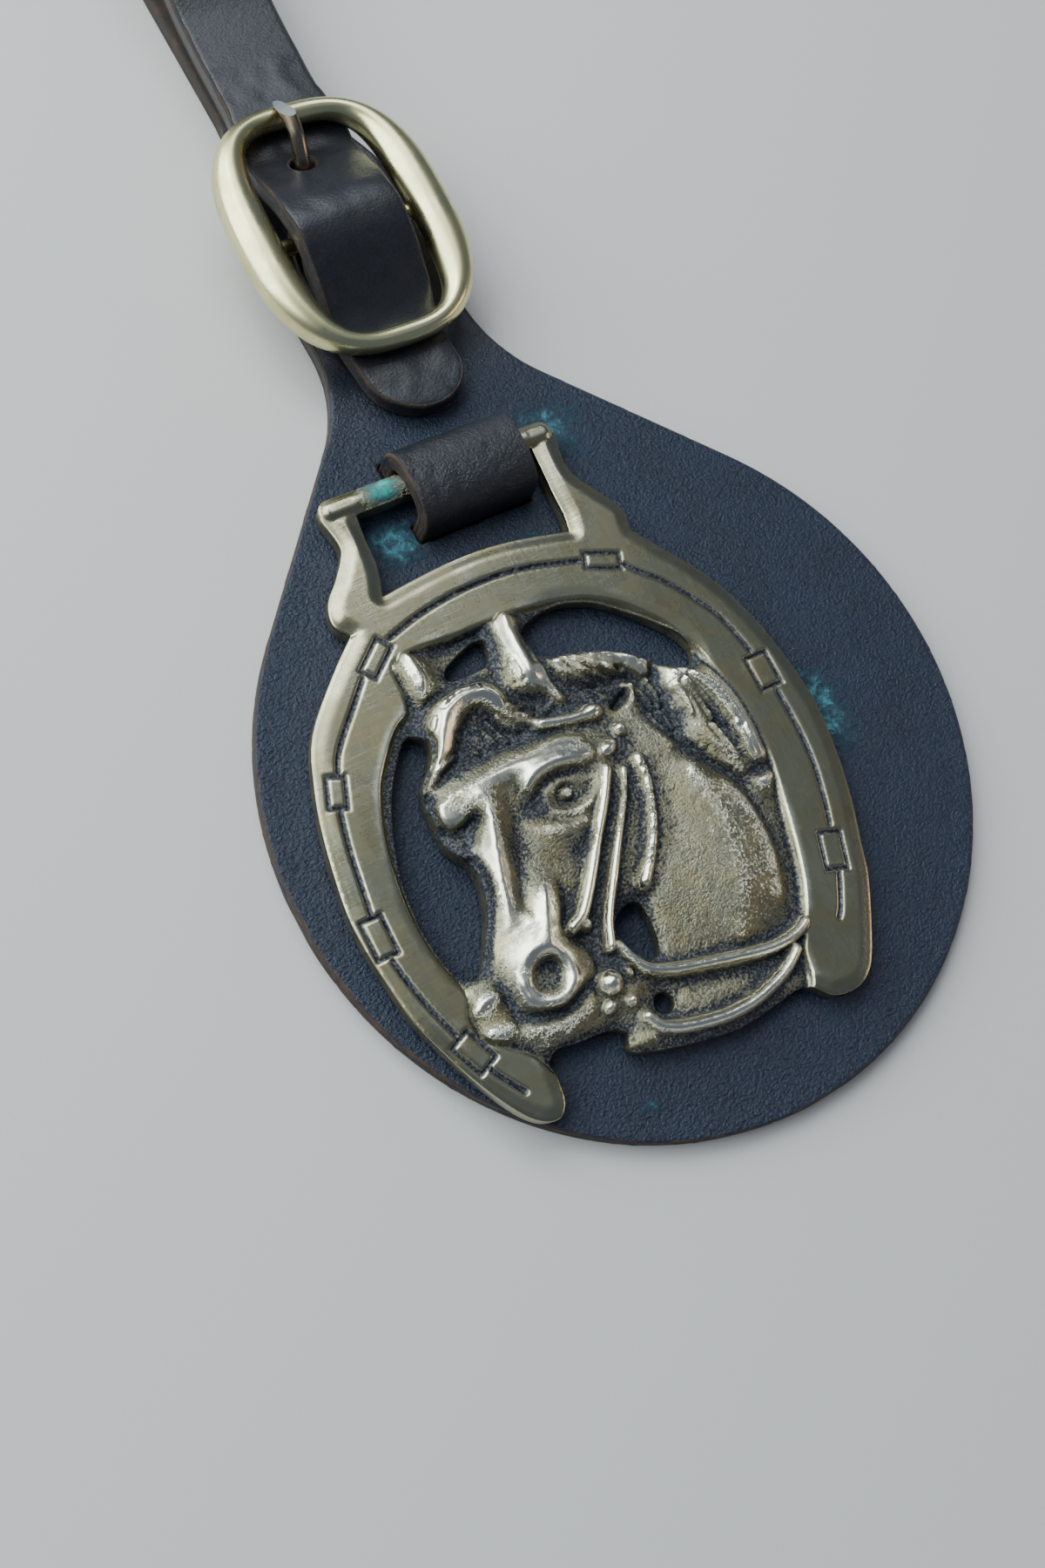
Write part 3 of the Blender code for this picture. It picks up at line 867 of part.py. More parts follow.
def make_brass(material):
    inside = smooth(SHOE_INSIDE, closed=True, steps=2)
    around = [PLATE_LOW, (PLATE_HIGH[0], PLATE_LOW[1]), PLATE_HIGH, (PLATE_LOW[0], PLATE_HIGH[1])]
    brass = prism("horse_brass", [around, inside], BACK - SHOE / 2, BACK + SHOE)
    face = BACK + SHOE
    for line in GROOVES:
        groove = [(x, y, face + GROOVE_LIFT) for x, y in smooth(line, steps=2)]
        combine(brass, as_tool(rod("groove", groove, GROOVE_RADIUS, 0)), "DIFFERENCE")
    for (x, y), turn, length, width in NAILS:
        for name, margin, low, high in (("pocket", NAIL_GROOVE, face - NAIL_DEPTH, face + NAIL_DEPTH),
                                        ("nail", 0.0, face - 2 * NAIL_DEPTH, face)):
            half = (length / 2 + margin, width / 2 + margin)
            tool = block(name, (x - half[0], y - half[1], low), (x + half[0], y + half[1], high), turn)
            combine(brass, as_tool(tool), "UNION" if name == "nail" else "DIFFERENCE")
    combine(brass, as_tool(relief_solid()), "UNION")
    outlines = [brass_outline(), chain(*HANGER_WINDOW), *head_gaps()]
    silhouette = prism("silhouette", outlines, BACK, BACK + 3 * SHOE)
    combine(brass, as_tool(silhouette), "INTERSECT")
    bar = cross_bar("hanger_bar", BAR_RADIUS, *HANGER_X, BAR_Y, BACK + BAR_RADIUS)
    combine(brass, as_tool(bar), "UNION")
    as_part(brass, material, sharp=50.0)


backing_leather = new_material("backing_leather", (0.020, 0.024, 0.032), 0.55, 0.0)
strap_leather = new_material("strap_leather", (0.030, 0.028, 0.030), 0.45, 0.0)
aged_brass = new_material("aged_brass", (0.46, 0.39, 0.22), 0.32, 1.0)
polished_brass = new_material("polished_brass", (0.78, 0.70, 0.50), 0.16, 1.0)
tongue_steel = new_material("tongue_steel", (0.30, 0.27, 0.23), 0.35, 1.0)

make_backing(backing_leather)
make_hanger_loop(strap_leather)
make_chape(strap_leather)
make_frame(polished_brass)
make_tongue(tongue_steel)
make_brass(aged_brass)
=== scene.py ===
"""Looks of a horse brass on a leather backing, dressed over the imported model.

A round leather backing runs up into a neck and a strap. The strap folds over into the
hanging loop and comes back down through a centre-bar buckle. The cast brass, a horse's
head inside a horseshoe, swings on the round bar that a leather loop holds to the backing.

Metres, +Y towards the hanging loop, +Z up. Sizes below are in millimetres.
"""
import math

import bmesh
import bpy
import numpy as np
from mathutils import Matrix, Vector, noise


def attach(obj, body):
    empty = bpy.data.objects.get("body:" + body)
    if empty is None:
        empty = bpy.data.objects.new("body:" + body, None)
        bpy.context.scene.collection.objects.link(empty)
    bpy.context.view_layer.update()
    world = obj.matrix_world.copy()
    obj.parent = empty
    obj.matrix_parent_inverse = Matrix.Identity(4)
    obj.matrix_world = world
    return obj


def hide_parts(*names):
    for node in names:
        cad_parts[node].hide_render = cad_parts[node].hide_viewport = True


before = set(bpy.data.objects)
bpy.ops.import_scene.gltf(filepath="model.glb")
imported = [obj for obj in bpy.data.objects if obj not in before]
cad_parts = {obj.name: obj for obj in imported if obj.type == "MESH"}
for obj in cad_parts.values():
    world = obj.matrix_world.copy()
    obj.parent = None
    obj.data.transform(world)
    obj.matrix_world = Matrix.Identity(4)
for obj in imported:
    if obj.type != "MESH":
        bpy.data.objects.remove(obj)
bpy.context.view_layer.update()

MM = 0.001

# ------------------------------------------------- backing, neck and strap
# One piece of 3 mm harness leather: pebbled black on the disc, burnished on the strap.
# Its edges are cut raw and left brown. The strap folds over at the top into the hanging
# loop, humps over the centre bar of the buckle, and its rounded tip lies on the neck.

GAP = 0.3
LEATHER = 3.0
LEATHER_RIM = 0.5
LEATHER_CELL = 0.75
DISC_RADIUS = 52.0
SHOULDER_ANGLE = 42.0
NECK_FILLET = 22.0
NECK_FOOT = (12.2, 66.0)
NECK_TOP = (12.7, 94.5)
STRAP_ROOT = [NECK_TOP, (12.3, 98.5), (10.6, 102.5), (8.7, 106.0), (7.8, 109.0), (7.5, 112.0)]
STRAP_HALF_WIDTH = 7.5
TIP_LENGTH = 6.8
TIP_Y = 56.6
FOLD_START = 134.0
FRONT_HEIGHT = 7.0
HUMP_HEIGHT = 12.1
TIP_HEIGHT = LEATHER + GAP + LEATHER / 2
HUMP_RISE_Y = 100.5
HUMP_FALL_Y = 69.0
HUMP_CREST_Y = 85.3
STRAP_WANDER = [(56.6, -1.2), (70, -2.2), (87, -2.9), (98, -2.2), (108, -0.9), (130, -0.3), (150, 0.0)]
HANGING_FOLD = [(134, 1.5), (140, 1.7), (145.5, 2.9), (149.8, 5.8), (151, 9.8), (148.2, 12.9),
                (143, 13.2), (137, 11.3), (131, 8.9), (125, 7.5), (119, FRONT_HEIGHT)]
TONGUE_X = -2.9
TONGUE_HOLE_Y = (93.3, 97.3)
TONGUE_HOLE_HALF_WIDTH = 1.7
TONGUE_HOLE_SHRINK = 0.3
LOOP_X = (-12.5, 5.8)
LOOP_Y = (39.7, 52.3)
LOOP_LEATHER = 2.6
SLIT_PLAY = 0.1
SLIT_REACH = 3.0
# unevenness as (size of its lumps, seed, height)
EDGE_UNEVEN = ((1.3, 0.0, 0.18), (5.0, 3.0, 0.12))
STRAP_UNEVEN = ((4.5, 9.0, 0.18), (2.0, 4.0, 0.10))
EDGE_CUT_BACK = 0.15
WARP_SIZE, WARP_SEED, WARP_DEPTH = 26.0, 7.0, 0.22
LUMPS_AFTER_FOLD = 60.0
# the face sags in places: from a share of the thickness up, less on the strap and less
# within a width of the rim
SAG_FOOT = 0.4
STRAP_SAG = 0.4
RIM_SAG = 0.3
RIM_SAG_WIDTH = 3.0
# the strap spreads over the bar of the buckle, more on its right than on its left
SPREAD_Y, SPREAD_SHARE = (66, 74, 102, 109), (0, 1, 1, 0)
SPREAD_RIGHT, SPREAD_LEFT = 0.22, 0.03
# the grain is worn bare inside the hanging loop, and burnished from the neck up
BARE_LINING_Y, BARE_LINING_EASE, BARE_LINING = 100.0, 12.0, 0.8
BURNISH_Y, BURNISH_EASE = 56.0, 16.0


def smooth(points, closed=False, steps=3):
    """Points along a Catmull-Rom curve through the given points."""
    p = np.array(points, float)
    count = len(p)
    if count < 3:
        return p
    out = []
    for i in range(count if closed else count - 1):
        if closed:
            a, b, c, d = p[i - 1], p[i], p[(i + 1) % count], p[(i + 2) % count]
        else:
            b, c = p[i], p[i + 1]
            a = p[i - 1] if i > 0 else 2 * b - c
            d = p[i + 2] if i + 2 < count else 2 * c - b
        for t in np.arange(steps) / steps:
            cubic = (3 * b - a - 3 * c + d) * t ** 3
            square = (2 * a - 5 * b + 4 * c - d) * t ** 2
            out.append(0.5 * (2 * b + (c - a) * t + square + cubic))
    if not closed:
        out.append(p[-1])
    return np.array(out)


def ellipse(centre, radii, start=0.0, end=360.0, count=16, power=2.0):
    """Points round an ellipse, or a squarer shape where the power is above 2."""
    turn = np.radians(np.linspace(start, end, count))
    across = np.sign(np.cos(turn)) * np.abs(np.cos(turn)) ** (2 / power)
    upward = np.sign(np.sin(turn)) * np.abs(np.sin(turn)) ** (2 / power)
    return np.column_stack([centre[0] + radii[0] * across, centre[1] + radii[1] * upward])


def fillet(before, corner, after, radius, count):
    """The arc that rounds the corner between two straight runs."""
    before, corner, after = (np.array(p, float) for p in (before, corner, after))
    u = (before - corner) / np.linalg.norm(before - corner)
    v = (after - corner) / np.linalg.norm(after - corner)
    half = 0.5 * math.acos(float(u @ v))
    centre = corner + (u + v) / np.linalg.norm(u + v) * radius / math.sin(half)
    start = corner + u * radius / math.tan(half) - centre
    end = corner + v * radius / math.tan(half) - centre
    first = math.atan2(start[1], start[0])
    sweep = (math.atan2(end[1], end[0]) - first + math.pi) % (2 * math.pi) - math.pi
    turn = first + sweep * np.linspace(0.0, 1.0, count)
    return centre + radius * np.column_stack([np.cos(turn), np.sin(turn)])


def close_to(line, x, y, reach):
    """Which places are inside the box of a line, widened by reach."""
    line = np.asarray(line, float)[:, :2]
    low, high = line.min(0) - reach, line.max(0) + reach
    return (x > low[0]) & (x < high[0]) & (y > low[1]) & (y < high[1])


def path_distance(x, y, path):
    """Distance from each place to a line."""
    best = np.full(x.shape, 1e9)
    for (x0, y0), (x1, y1) in zip(path[:-1], path[1:]):
        run = max((x1 - x0) ** 2 + (y1 - y0) ** 2, 1e-9)
        share = np.clip(((x - x0) * (x1 - x0) + (y - y0) * (y1 - y0)) / run, 0, 1)
        best = np.minimum(best, np.hypot(x - x0 - share * (x1 - x0), y - y0 - share * (y1 - y0)))
    return best


def depth_inside(x, y, loop):
    """Distance to a closed outline, positive inside it."""
    ring = np.vstack([loop, loop[:1]])
    inside = np.zeros(x.shape, bool)
    for (x0, y0), (x1, y1) in zip(ring[:-1], ring[1:]):
        if y0 != y1:
            inside ^= ((y0 > y) != (y1 > y)) & (x < (x1 - x0) * (y - y0) / (y1 - y0) + x0)
    return np.where(inside, 1, -1) * path_distance(x, y, ring)


def near_depth(x, y, loop, reach):
    """As depth_inside, but worked out only within reach of the outline's box."""
    close = close_to(loop, x, y, reach)
    depth = np.full(x.shape, -float(reach))
    depth[close] = depth_inside(x[close], y[close], loop)
    return depth


SLIVER = 0.12


def trimmed_grid(depth, low, high, cell):
    """Even cells trimmed to where depth is above 0: places, faces, and the edges of the rim.

    A cell's edge is cut no nearer to its ends than a sliver, a share of its length.
    """
    x, y = np.meshgrid(np.arange(low[0], high[0] + cell, cell),
                       np.arange(low[1], high[1] + cell, cell))
    value = depth(x, y)
    inside = value > 0
    corner = np.full(x.shape, -1)
    corner[inside] = np.arange(inside.sum())
    places = [np.column_stack([x[inside], y[inside]])]
    total = int(inside.sum())
    crossing = []
    for first, second in (((slice(None), slice(None, -1)), (slice(None), slice(1, None))),
                          ((slice(None, -1), slice(None)), (slice(1, None), slice(None)))):
        a, b = value[first], value[second]
        crosses = (a > 0) != (b > 0)
        share = np.clip(a[crosses] / (a[crosses] - b[crosses]), SLIVER, 1 - SLIVER)[:, None]
        start = np.column_stack([x[first][crosses], y[first][crosses]])
        end = np.column_stack([x[second][crosses], y[second][crosses]])
        places.append(start + (end - start) * share)
        index = np.full(a.shape, -1)
        index[crosses] = total + np.arange(crosses.sum())
        total += int(crosses.sum())
        crossing.append(index)
    flat, upright = crossing
    corners = [corner[:-1, :-1], corner[:-1, 1:], corner[1:, 1:], corner[1:, :-1]]
    sides = [flat[:-1], upright[:, 1:], flat[1:], upright[:, :-1]]
    kind = sum((corners[k] >= 0).astype(int) << k for k in range(4))
    faces, rim = [], []
    for case in range(1, 16):
        where = kind == case
        ring, leaving = [], []
        for k in range(4):
            here, onward = case >> k & 1, case >> (k + 1) % 4 & 1
            if here:
                ring.append(corners[k][where])
            if here != onward:
                ring.append(sides[k][where])
                if here:
                    leaving.append(len(ring) - 1)
        faces.append(np.column_stack(ring).tolist())
        for spot in leaving:
            rim.append(np.column_stack([ring[spot], ring[(spot + 1) % len(ring)]]))
    return np.vstack(places), [face for group in faces for face in group], np.vstack(rim)


SLOPE_STEP = 0.05


def cut_sheet(depth, low, high, cell, rim, thickness, plain_back=False):
    """A sheet cut to an outline, its edges rounded.

    Returns its places, its faces, which side each place is on, from 0 on the back to 1 on
    the face, and the lowest ring of edges. thickness gives the height of the upper face.
    A plain back is left open at that ring, for a few large faces.
    """
    flat, upper_faces, edges = trimmed_grid(lambda x, y: depth(x, y) - rim, low, high, cell)
    count = len(flat)
    around, slot = np.unique(edges, return_inverse=True)
    slot = slot.reshape(-1, 2)
    x, y = flat[around].T
    slope = np.column_stack([depth(x + SLOPE_STEP, y) - depth(x - SLOPE_STEP, y),
                             depth(x, y + SLOPE_STEP) - depth(x, y - SLOPE_STEP)])
    outward = -slope / np.maximum(np.linalg.norm(slope, axis=1), 1e-6)[:, None]
    top = thickness(flat[:, 0], flat[:, 1])
    rows = [np.column_stack([flat, top])]
    side = [np.ones(count)]
    turns = np.radians([30, 60, 90])
    layers = [(math.sin(t), 1 - math.cos(t), 1.0) for t in turns]
    layers += [(1.0, 0.0, 0.66), (1.0, 0.0, 0.33)]
    layers += [(math.sin(t), math.cos(t) - 1, 0.0) for t in turns[::-1]]
    for out, drop, share in layers:
        edge = top[around]
        height = rim + (edge - 2 * rim) * share if 0 < share < 1 else edge * share - rim * drop
        rows.append(np.column_stack([flat[around] + outward * rim * out, height]))
        side.append(np.full(len(around), share))
    ring_start = [None] + [count + k * len(around) for k in range(len(layers))]
    faces = list(upper_faces)
    upper, lower = edges, slot + ring_start[1]
    for k in range(1, len(layers) + 1):
        faces += np.column_stack([upper[:, 1], upper[:, 0], lower[:, 0], lower[:, 1]]).tolist()
        upper = lower
        lower = slot + (ring_start[k + 1] if k < len(layers) else 0)
    total = count + len(layers) * len(around)
    if not plain_back:
        back = np.column_stack([flat, np.zeros(count)])
        rows.append(back)
        side.append(np.zeros(count))
        below = edges + total
        faces += np.column_stack([upper[:, 1], upper[:, 0], below[:, 0], below[:, 1]]).tolist()
        faces += [[total + k for k in reversed(face)] for face in upper_faces]
    return np.vstack(rows), faces, np.concatenate(side), upper


def mesh_piece(name, places, faces, values=None, open_rim=None):
    """A mesh object from places in millimetres, with named values stored on its points.

    An open rim is closed with flat faces.
    """
    mesh = bpy.data.meshes.new(name)
    mesh.from_pydata((places * MM).tolist(), [], faces)
    for title, value in (values or {}).items():
        mesh.attributes.new(title, "FLOAT", "POINT").data.foreach_set("value", value.astype(np.float32))
    shape = bmesh.new()
    shape.from_mesh(mesh)
    if open_rim is not None:
        shape.verts.ensure_lookup_table()
        edges = [shape.edges.get((shape.verts[a], shape.verts[b])) for a, b in open_rim.tolist()]
        bmesh.ops.triangle_fill(shape, use_beauty=True, use_dissolve=False, edges=edges)
    bmesh.ops.recalc_face_normals(shape, faces=shape.faces)
    shape.to_mesh(mesh)
    shape.free()
    mesh.shade_smooth()
    piece = bpy.data.objects.new(name, mesh)
    bpy.context.scene.collection.objects.link(piece)
    return piece


def uneven(places, size, seed=0.0):
    """Smooth unevenness between -1 and 1, with lumps of about the given size."""
    shift = Vector((seed, 2 * seed, 3 * seed))
    return np.array([noise.noise(Vector(p) / size + shift) for p in places.tolist()])


def layered(places, layers):
    """Unevenness of several sizes added up."""
    return sum(uneven(places, size, seed) * height for size, seed, height in layers)


def along(line):
    """Distance from the start of a line to each of its points."""
    return np.concatenate([[0.0], np.cumsum(np.linalg.norm(np.diff(line, axis=0), axis=1))])


def bend_along(distance, rise, line):
    """Y and height of points at a distance along a line and a rise from it."""
    stations = along(line)
    ahead = np.gradient(line, stations, axis=0)
    y, z, dy, dz = (np.interp(distance, stations, column) for column in (*line.T, *ahead.T))
    scale = rise / np.hypot(dy, dz)
    return y - dz * scale, z + dy * scale


def strap_line():
    """Middle line of the folded strap, (along Y, height), from the flat to the tip."""
    over = []
    for y in np.arange(HUMP_RISE_Y, HUMP_FALL_Y - 0.5, -0.5):
        foot, level = (HUMP_RISE_Y, FRONT_HEIGHT) if y > HUMP_CREST_Y else (HUMP_FALL_Y, TIP_HEIGHT)
        share = 0.5 + 0.5 * math.cos(math.pi * min((y - HUMP_CREST_Y) / (foot - HUMP_CREST_Y), 1.0))
        over.append((y, level + (HUMP_HEIGHT - level) * share))
    return np.vstack([smooth(HANGING_FOLD, steps=8), over, [(TIP_Y, TIP_HEIGHT)]])


def leather_outline(length):
    """Edge of the flat leather, from the foot of the disc up to the tip and back."""
    disc = ellipse((0, 0), (DISC_RADIUS, DISC_RADIUS), -90.0, SHOULDER_ANGLE, 90)
    shoulder = disc[-1]
    lean = math.radians(SHOULDER_ANGLE)
    run_out = np.array([-math.sin(lean), math.cos(lean)])
    neck = np.array(NECK_TOP) - NECK_FOOT
    across = np.linalg.solve(np.column_stack([run_out, -neck]), NECK_FOOT - shoulder)
    corner = shoulder + run_out * across[0]
    rounded = fillet(shoulder, corner, NECK_TOP, NECK_FILLET, 20)
    root = smooth(STRAP_ROOT, steps=5)
    tip = ellipse((0, length - TIP_LENGTH), (STRAP_HALF_WIDTH, TIP_LENGTH), 0.0, 90.0, 16)
    right = np.vstack([disc, rounded, root, tip])
    return np.vstack([right, (right * [-1, 1])[-2:0:-1]])


def backing_depth(line):
    """The test of how deep a place is inside the flat leather, its slits and its hole left out."""
    stations = along(line)
    outline = leather_outline(FOLD_START + stations[-1])
    front = line[:, 1].argmax()
    hole = [FOLD_START + np.interp(-y, -line[front:, 0], stations[front:]) for y in TONGUE_HOLE_Y]
    middle = TONGUE_X - np.interp(np.mean(TONGUE_HOLE_Y), *zip(*STRAP_WANDER))
    half_length = (hole[0] - hole[1]) / 2 - TONGUE_HOLE_SHRINK
    openings = [ellipse((middle, np.mean(hole)), (TONGUE_HOLE_HALF_WIDTH, half_length), count=25)]
    for inner, outer in ((LOOP_Y[0], LOOP_Y[0] + LOOP_LEATHER), (LOOP_Y[1] - LOOP_LEATHER, LOOP_Y[1])):
        low, high = (LOOP_X[0] - SLIT_PLAY, inner - SLIT_PLAY), (LOOP_X[1] + SLIT_PLAY, outer + SLIT_PLAY)
        openings.append(np.array([low, (high[0], low[1]), high, (low[0], high[1])]))

    def depth(x, y):
        value = depth_inside(x, y, outline)
        for opening in openings:
            value = np.minimum(value, -near_depth(x, y, opening, SLIT_REACH))
        return value

    return depth, FOLD_START + stations[-1]


RIM_SHARE = 0.8


def rim_places(side, inner, rim):
    """The outermost points of the two flat sides, where the rounded edge starts."""
    return ((side == 1.0) | (side == 0.0)) & (inner < RIM_SHARE * rim)


def make_backing():
    """The flat leather cut out, made uneven, and folded over along the line of the strap."""
    line = strap_line()
    depth, length = backing_depth(line)
    reach = DISC_RADIUS + 1
    places, faces, side, rim = cut_sheet(
        depth, (-reach, -reach), (reach, length + 1), LEATHER_CELL, LEATHER_RIM,
        lambda x, y: np.full(x.shape, LEATHER))
    x, y, z = places.T
    inner = depth(x, y)
    cut = ((side > 0.0) & (side < 1.0)).astype(float)
    worn_rim = rim_places(side, inner, LEATHER_RIM).astype(float)
    lumps = layered(places, STRAP_UNEVEN)
    cut_back = cut * np.maximum(layered(places, EDGE_UNEVEN) + EDGE_CUT_BACK, 0)
    from_middle = np.maximum(np.hypot(x, y), 1)
    x = x - cut_back * x / from_middle
    y = np.where(y < FOLD_START, y - cut_back * y / from_middle, y)
    warp = uneven(np.column_stack([x, y, 0 * x]), WARP_SIZE, WARP_SEED) * WARP_DEPTH - WARP_DEPTH
    sag = np.clip((z - LEATHER * SAG_FOOT) / LEATHER, 0, 1) * np.where(y < FOLD_START, 1.0, STRAP_SAG)
    z = z + warp * sag * np.clip(inner / RIM_SAG_WIDTH, RIM_SAG, 1)
    z = z + np.where((y > FOLD_START + LUMPS_AFTER_FOLD) & (z < LEATHER / 2), lumps, 0.0)
    beyond = y - FOLD_START
    folded = beyond > 0
    strap_y, strap_z = bend_along(np.maximum(beyond, 0), z - LEATHER / 2, line)
    turned = beyond > along(line)[len(smooth(HANGING_FOLD, steps=8)) // 2]
    x = x + np.where(turned, np.interp(strap_y, *zip(*STRAP_WANDER)), 0.0)
    flattened = np.where(turned, np.interp(strap_y, SPREAD_Y, SPREAD_SHARE), 0.0)
    x = x + flattened * np.where(x > TONGUE_X, SPREAD_RIGHT, SPREAD_LEFT) * (x - TONGUE_X)
    grain_side = np.where(turned, 1 - side, side)
    flesh = np.clip(1 - 2 * grain_side, 0, 1)
    lining = np.clip((y - BARE_LINING_Y) / BARE_LINING_EASE, 0, 1) * BARE_LINING
    flesh = np.where(turned, flesh, np.maximum(flesh, lining))
    strap = np.where(folded, 1.0, np.clip((y - BURNISH_Y) / BURNISH_EASE, 0, 1))
    places = np.column_stack([x, np.where(folded, strap_y, y), np.where(folded, strap_z, z)])
    values = {"cut_edge": cut, "worn_rim": worn_rim, "flesh_side": flesh, "burnish": strap,
              "verdigris": verdigris_cover(places)}
    piece = mesh_piece("leather_backing_skin", places, faces, values)
    piece.data.materials.append(harness_leather("backing_leather", BACKING_BLACK))
    return piece


# verdigris has crept from the brass onto the leather: middle, radii, thickness of its growth
VERDIGRIS = [
    ((-15.0, 47.4), (4.6, 3.2), 0.98), ((-16, 41.0), (7.5, 4.8), 0.85), ((13.5, 48.0), (9.0, 7.0), 0.8),
    ((30.0, -5.5), (5.6, 10.0), 0.84), ((-23, -41.2), (3.6, 1.8), 0.6), ((2.5, 34.6), (3.8, 1.6), 0.66),
    ((-40, -24), (1.2, 1.2), 0.5), ((-2.0, -39.5), (3.5, 2.0), 0.5), ((6.0, -43.0), (3.0, 2.0), 0.45)]


GROWTH_EDGE = 1.25


def verdigris_cover(places, growths=VERDIGRIS):
    """How thickly verdigris has grown at each place."""
    cover = np.zeros(len(places))
    for (x, y), (across, length), strength in growths:
        away = np.hypot((places[:, 0] - x) / across, (places[:, 1] - y) / length)
        cover = np.maximum(cover, strength * np.clip(GROWTH_EDGE - away, 0, 1))
    return cover


def new_surface(name):
    """A material, its node tree and its shader."""
    material = bpy.data.materials.new(name)
    material.use_nodes = True
    return material, material.node_tree, material.node_tree.nodes["Principled BSDF"]


def fill_socket(tree, socket, value):
    """Link a socket to another node's, or fill it in with a plain value."""
    if isinstance(value, bpy.types.NodeSocket):
        tree.links.new(value, socket)
    else:
        socket.default_value = value


def add_node(tree, kind, inputs=None, **settings):
    """A node with its settings made and its sockets filled."""
    node = tree.nodes.new(kind)
    for key, value in settings.items():
        setattr(node, key, value)
    for socket, value in (inputs or {}).items():
        fill_socket(tree, node.inputs[socket], value)
    return node


def worked_out(tree, operation, *terms):
    """The result of one step of node arithmetic. The five functions below name the steps."""
    return add_node(tree, "ShaderNodeMath", dict(enumerate(terms)), operation=operation).outputs[0]


def plus(tree, first, second):
    return worked_out(tree, "ADD", first, second)


def minus(tree, first, second):
    return worked_out(tree, "SUBTRACT", first, second)


def times(tree, first, second):
    return worked_out(tree, "MULTIPLY", first, second)


def larger(tree, first, second):
    return worked_out(tree, "MAXIMUM", first, second)


def scaled(tree, value, factor, base):
    """A value times a factor, on top of a base."""
    return worked_out(tree, "MULTIPLY_ADD", value, factor, base)


def between(tree, share, first, second):
    """First value where the share is 0 and second where it is 1."""
    inputs = {0: share, 2: first, 3: second}
    return add_node(tree, "ShaderNodeMix", inputs, data_type="FLOAT").outputs[0]


def spread_out(tree, value, low, high, to_low=0.0, to_high=1.0):
    """A value between low and high eased to another range, and held at its ends."""
    inputs = {"Value": value, "From Min": low, "From Max": high, "To Min": to_low, "To Max": to_high}
    return add_node(tree, "ShaderNodeMapRange", inputs, interpolation_type="SMOOTHSTEP").outputs[0]


def tint(tree, share, first, second):
    """First colour where the share is 0 and second where it is 1."""
    inputs = {0: share}
    for socket, colour in ((6, first), (7, second)):
        inputs[socket] = colour if isinstance(colour, bpy.types.NodeSocket) else (*colour, 1.0)
    return add_node(tree, "ShaderNodeMix", inputs, data_type="RGBA").outputs[2]


def stored(tree, title):
    """A named value stored on the piece."""
    return add_node(tree, "ShaderNodeAttribute", attribute_name=title).outputs["Fac"]


def new_group(name, inputs, outputs):
    """An empty shader node group with named inputs and outputs."""
    group = bpy.data.node_groups.new(name, "ShaderNodeTree")
    for title, kind, value in inputs:
        socket = group.interface.new_socket(title, in_out="INPUT", socket_type="NodeSocket" + kind)
        socket.default_value = value
    for title, kind in outputs:
        group.interface.new_socket(title, in_out="OUTPUT", socket_type="NodeSocket" + kind)
    given = group.nodes.new("NodeGroupInput")
    result = group.nodes.new("NodeGroupOutput")
    return group, given.outputs, result


def use_group(tree, group, inputs):
    """The outputs of a node group put into a material."""
    return add_node(tree, "ShaderNodeGroup", inputs, node_tree=group).outputs


def add_bump(tree, shader, height, depth, strength=1.0):
    """Roughen a surface by a height, over a depth in millimetres."""
    bump = add_node(tree, "ShaderNodeBump", {"Height": height, "Distance": depth * MM, "Strength": strength})
    tree.links.new(bump.outputs[0], shader.inputs["Normal"])


def noise_field(tree, scale, detail=4.0, roughness=0.55, stretch=None, distortion=0.0):
    """Noise over the object itself. The scale is in lumps per metre."""
    place = add_node(tree, "ShaderNodeTexCoord").outputs["Object"]
    if stretch:
        place = add_node(tree, "ShaderNodeMapping", {"Vector": place, "Scale": stretch}).outputs[0]
    return add_node(tree, "ShaderNodeTexNoise", {
        "Vector": place, "Scale": scale, "Detail": detail, "Roughness": roughness,
        "Distortion": distortion}).outputs[0]


def make_leather_grain():
    """Pebbles with fine creases between them, and the tone that wear gives their tops."""
    tree, given, result = new_group(
        "leather_grain", [("Pebbles per Metre", "Float", 900.0), ("Smoothness", "Float", 0.0)],
        [("Height", "Float"), ("Tone", "Float")])
    place = add_node(tree, "ShaderNodeTexCoord").outputs["Object"]
    drift = add_node(tree, "ShaderNodeTexNoise",
                     {"Vector": place, "Scale": 1100.0, "Detail": 3.0}).outputs["Color"]
    shifted = add_node(tree, "ShaderNodeMix", {0: 0.0012, 4: place, 5: drift}, data_type="VECTOR").outputs[1]
    shifted = add_node(tree, "ShaderNodeMapping", {"Vector": shifted, "Scale": (0.8, 1.0, 1.0)}).outputs[0]
    pebbles = add_node(tree, "ShaderNodeTexVoronoi", {"Vector": shifted, "Scale": given[0]},
                       feature="SMOOTH_F1").outputs["Distance"]
    domes = spread_out(tree, pebbles, 0.85, 0.1)
    creases = noise_field(tree, 2900.0, 5.0, 0.65, stretch=(0.75, 1.0, 1.0), distortion=0.3)
    wrinkles = noise_field(tree, 760.0, 3.0, 0.5, stretch=(0.5, 1.0, 1.0))
    mixed = scaled(tree, creases, 1.15, times(tree, domes, 0.45))
    mixed = scaled(tree, wrinkles, 0.25, mixed)
    tree.links.new(between(tree, given[1], mixed, noise_field(tree, 500.0, 5.0, 0.6)), result.inputs[0])
    worn = plus(tree, mixed, noise_field(tree, 90.0))
    tree.links.new(spread_out(tree, worn, 0.8, 1.7), result.inputs[1])
    return tree


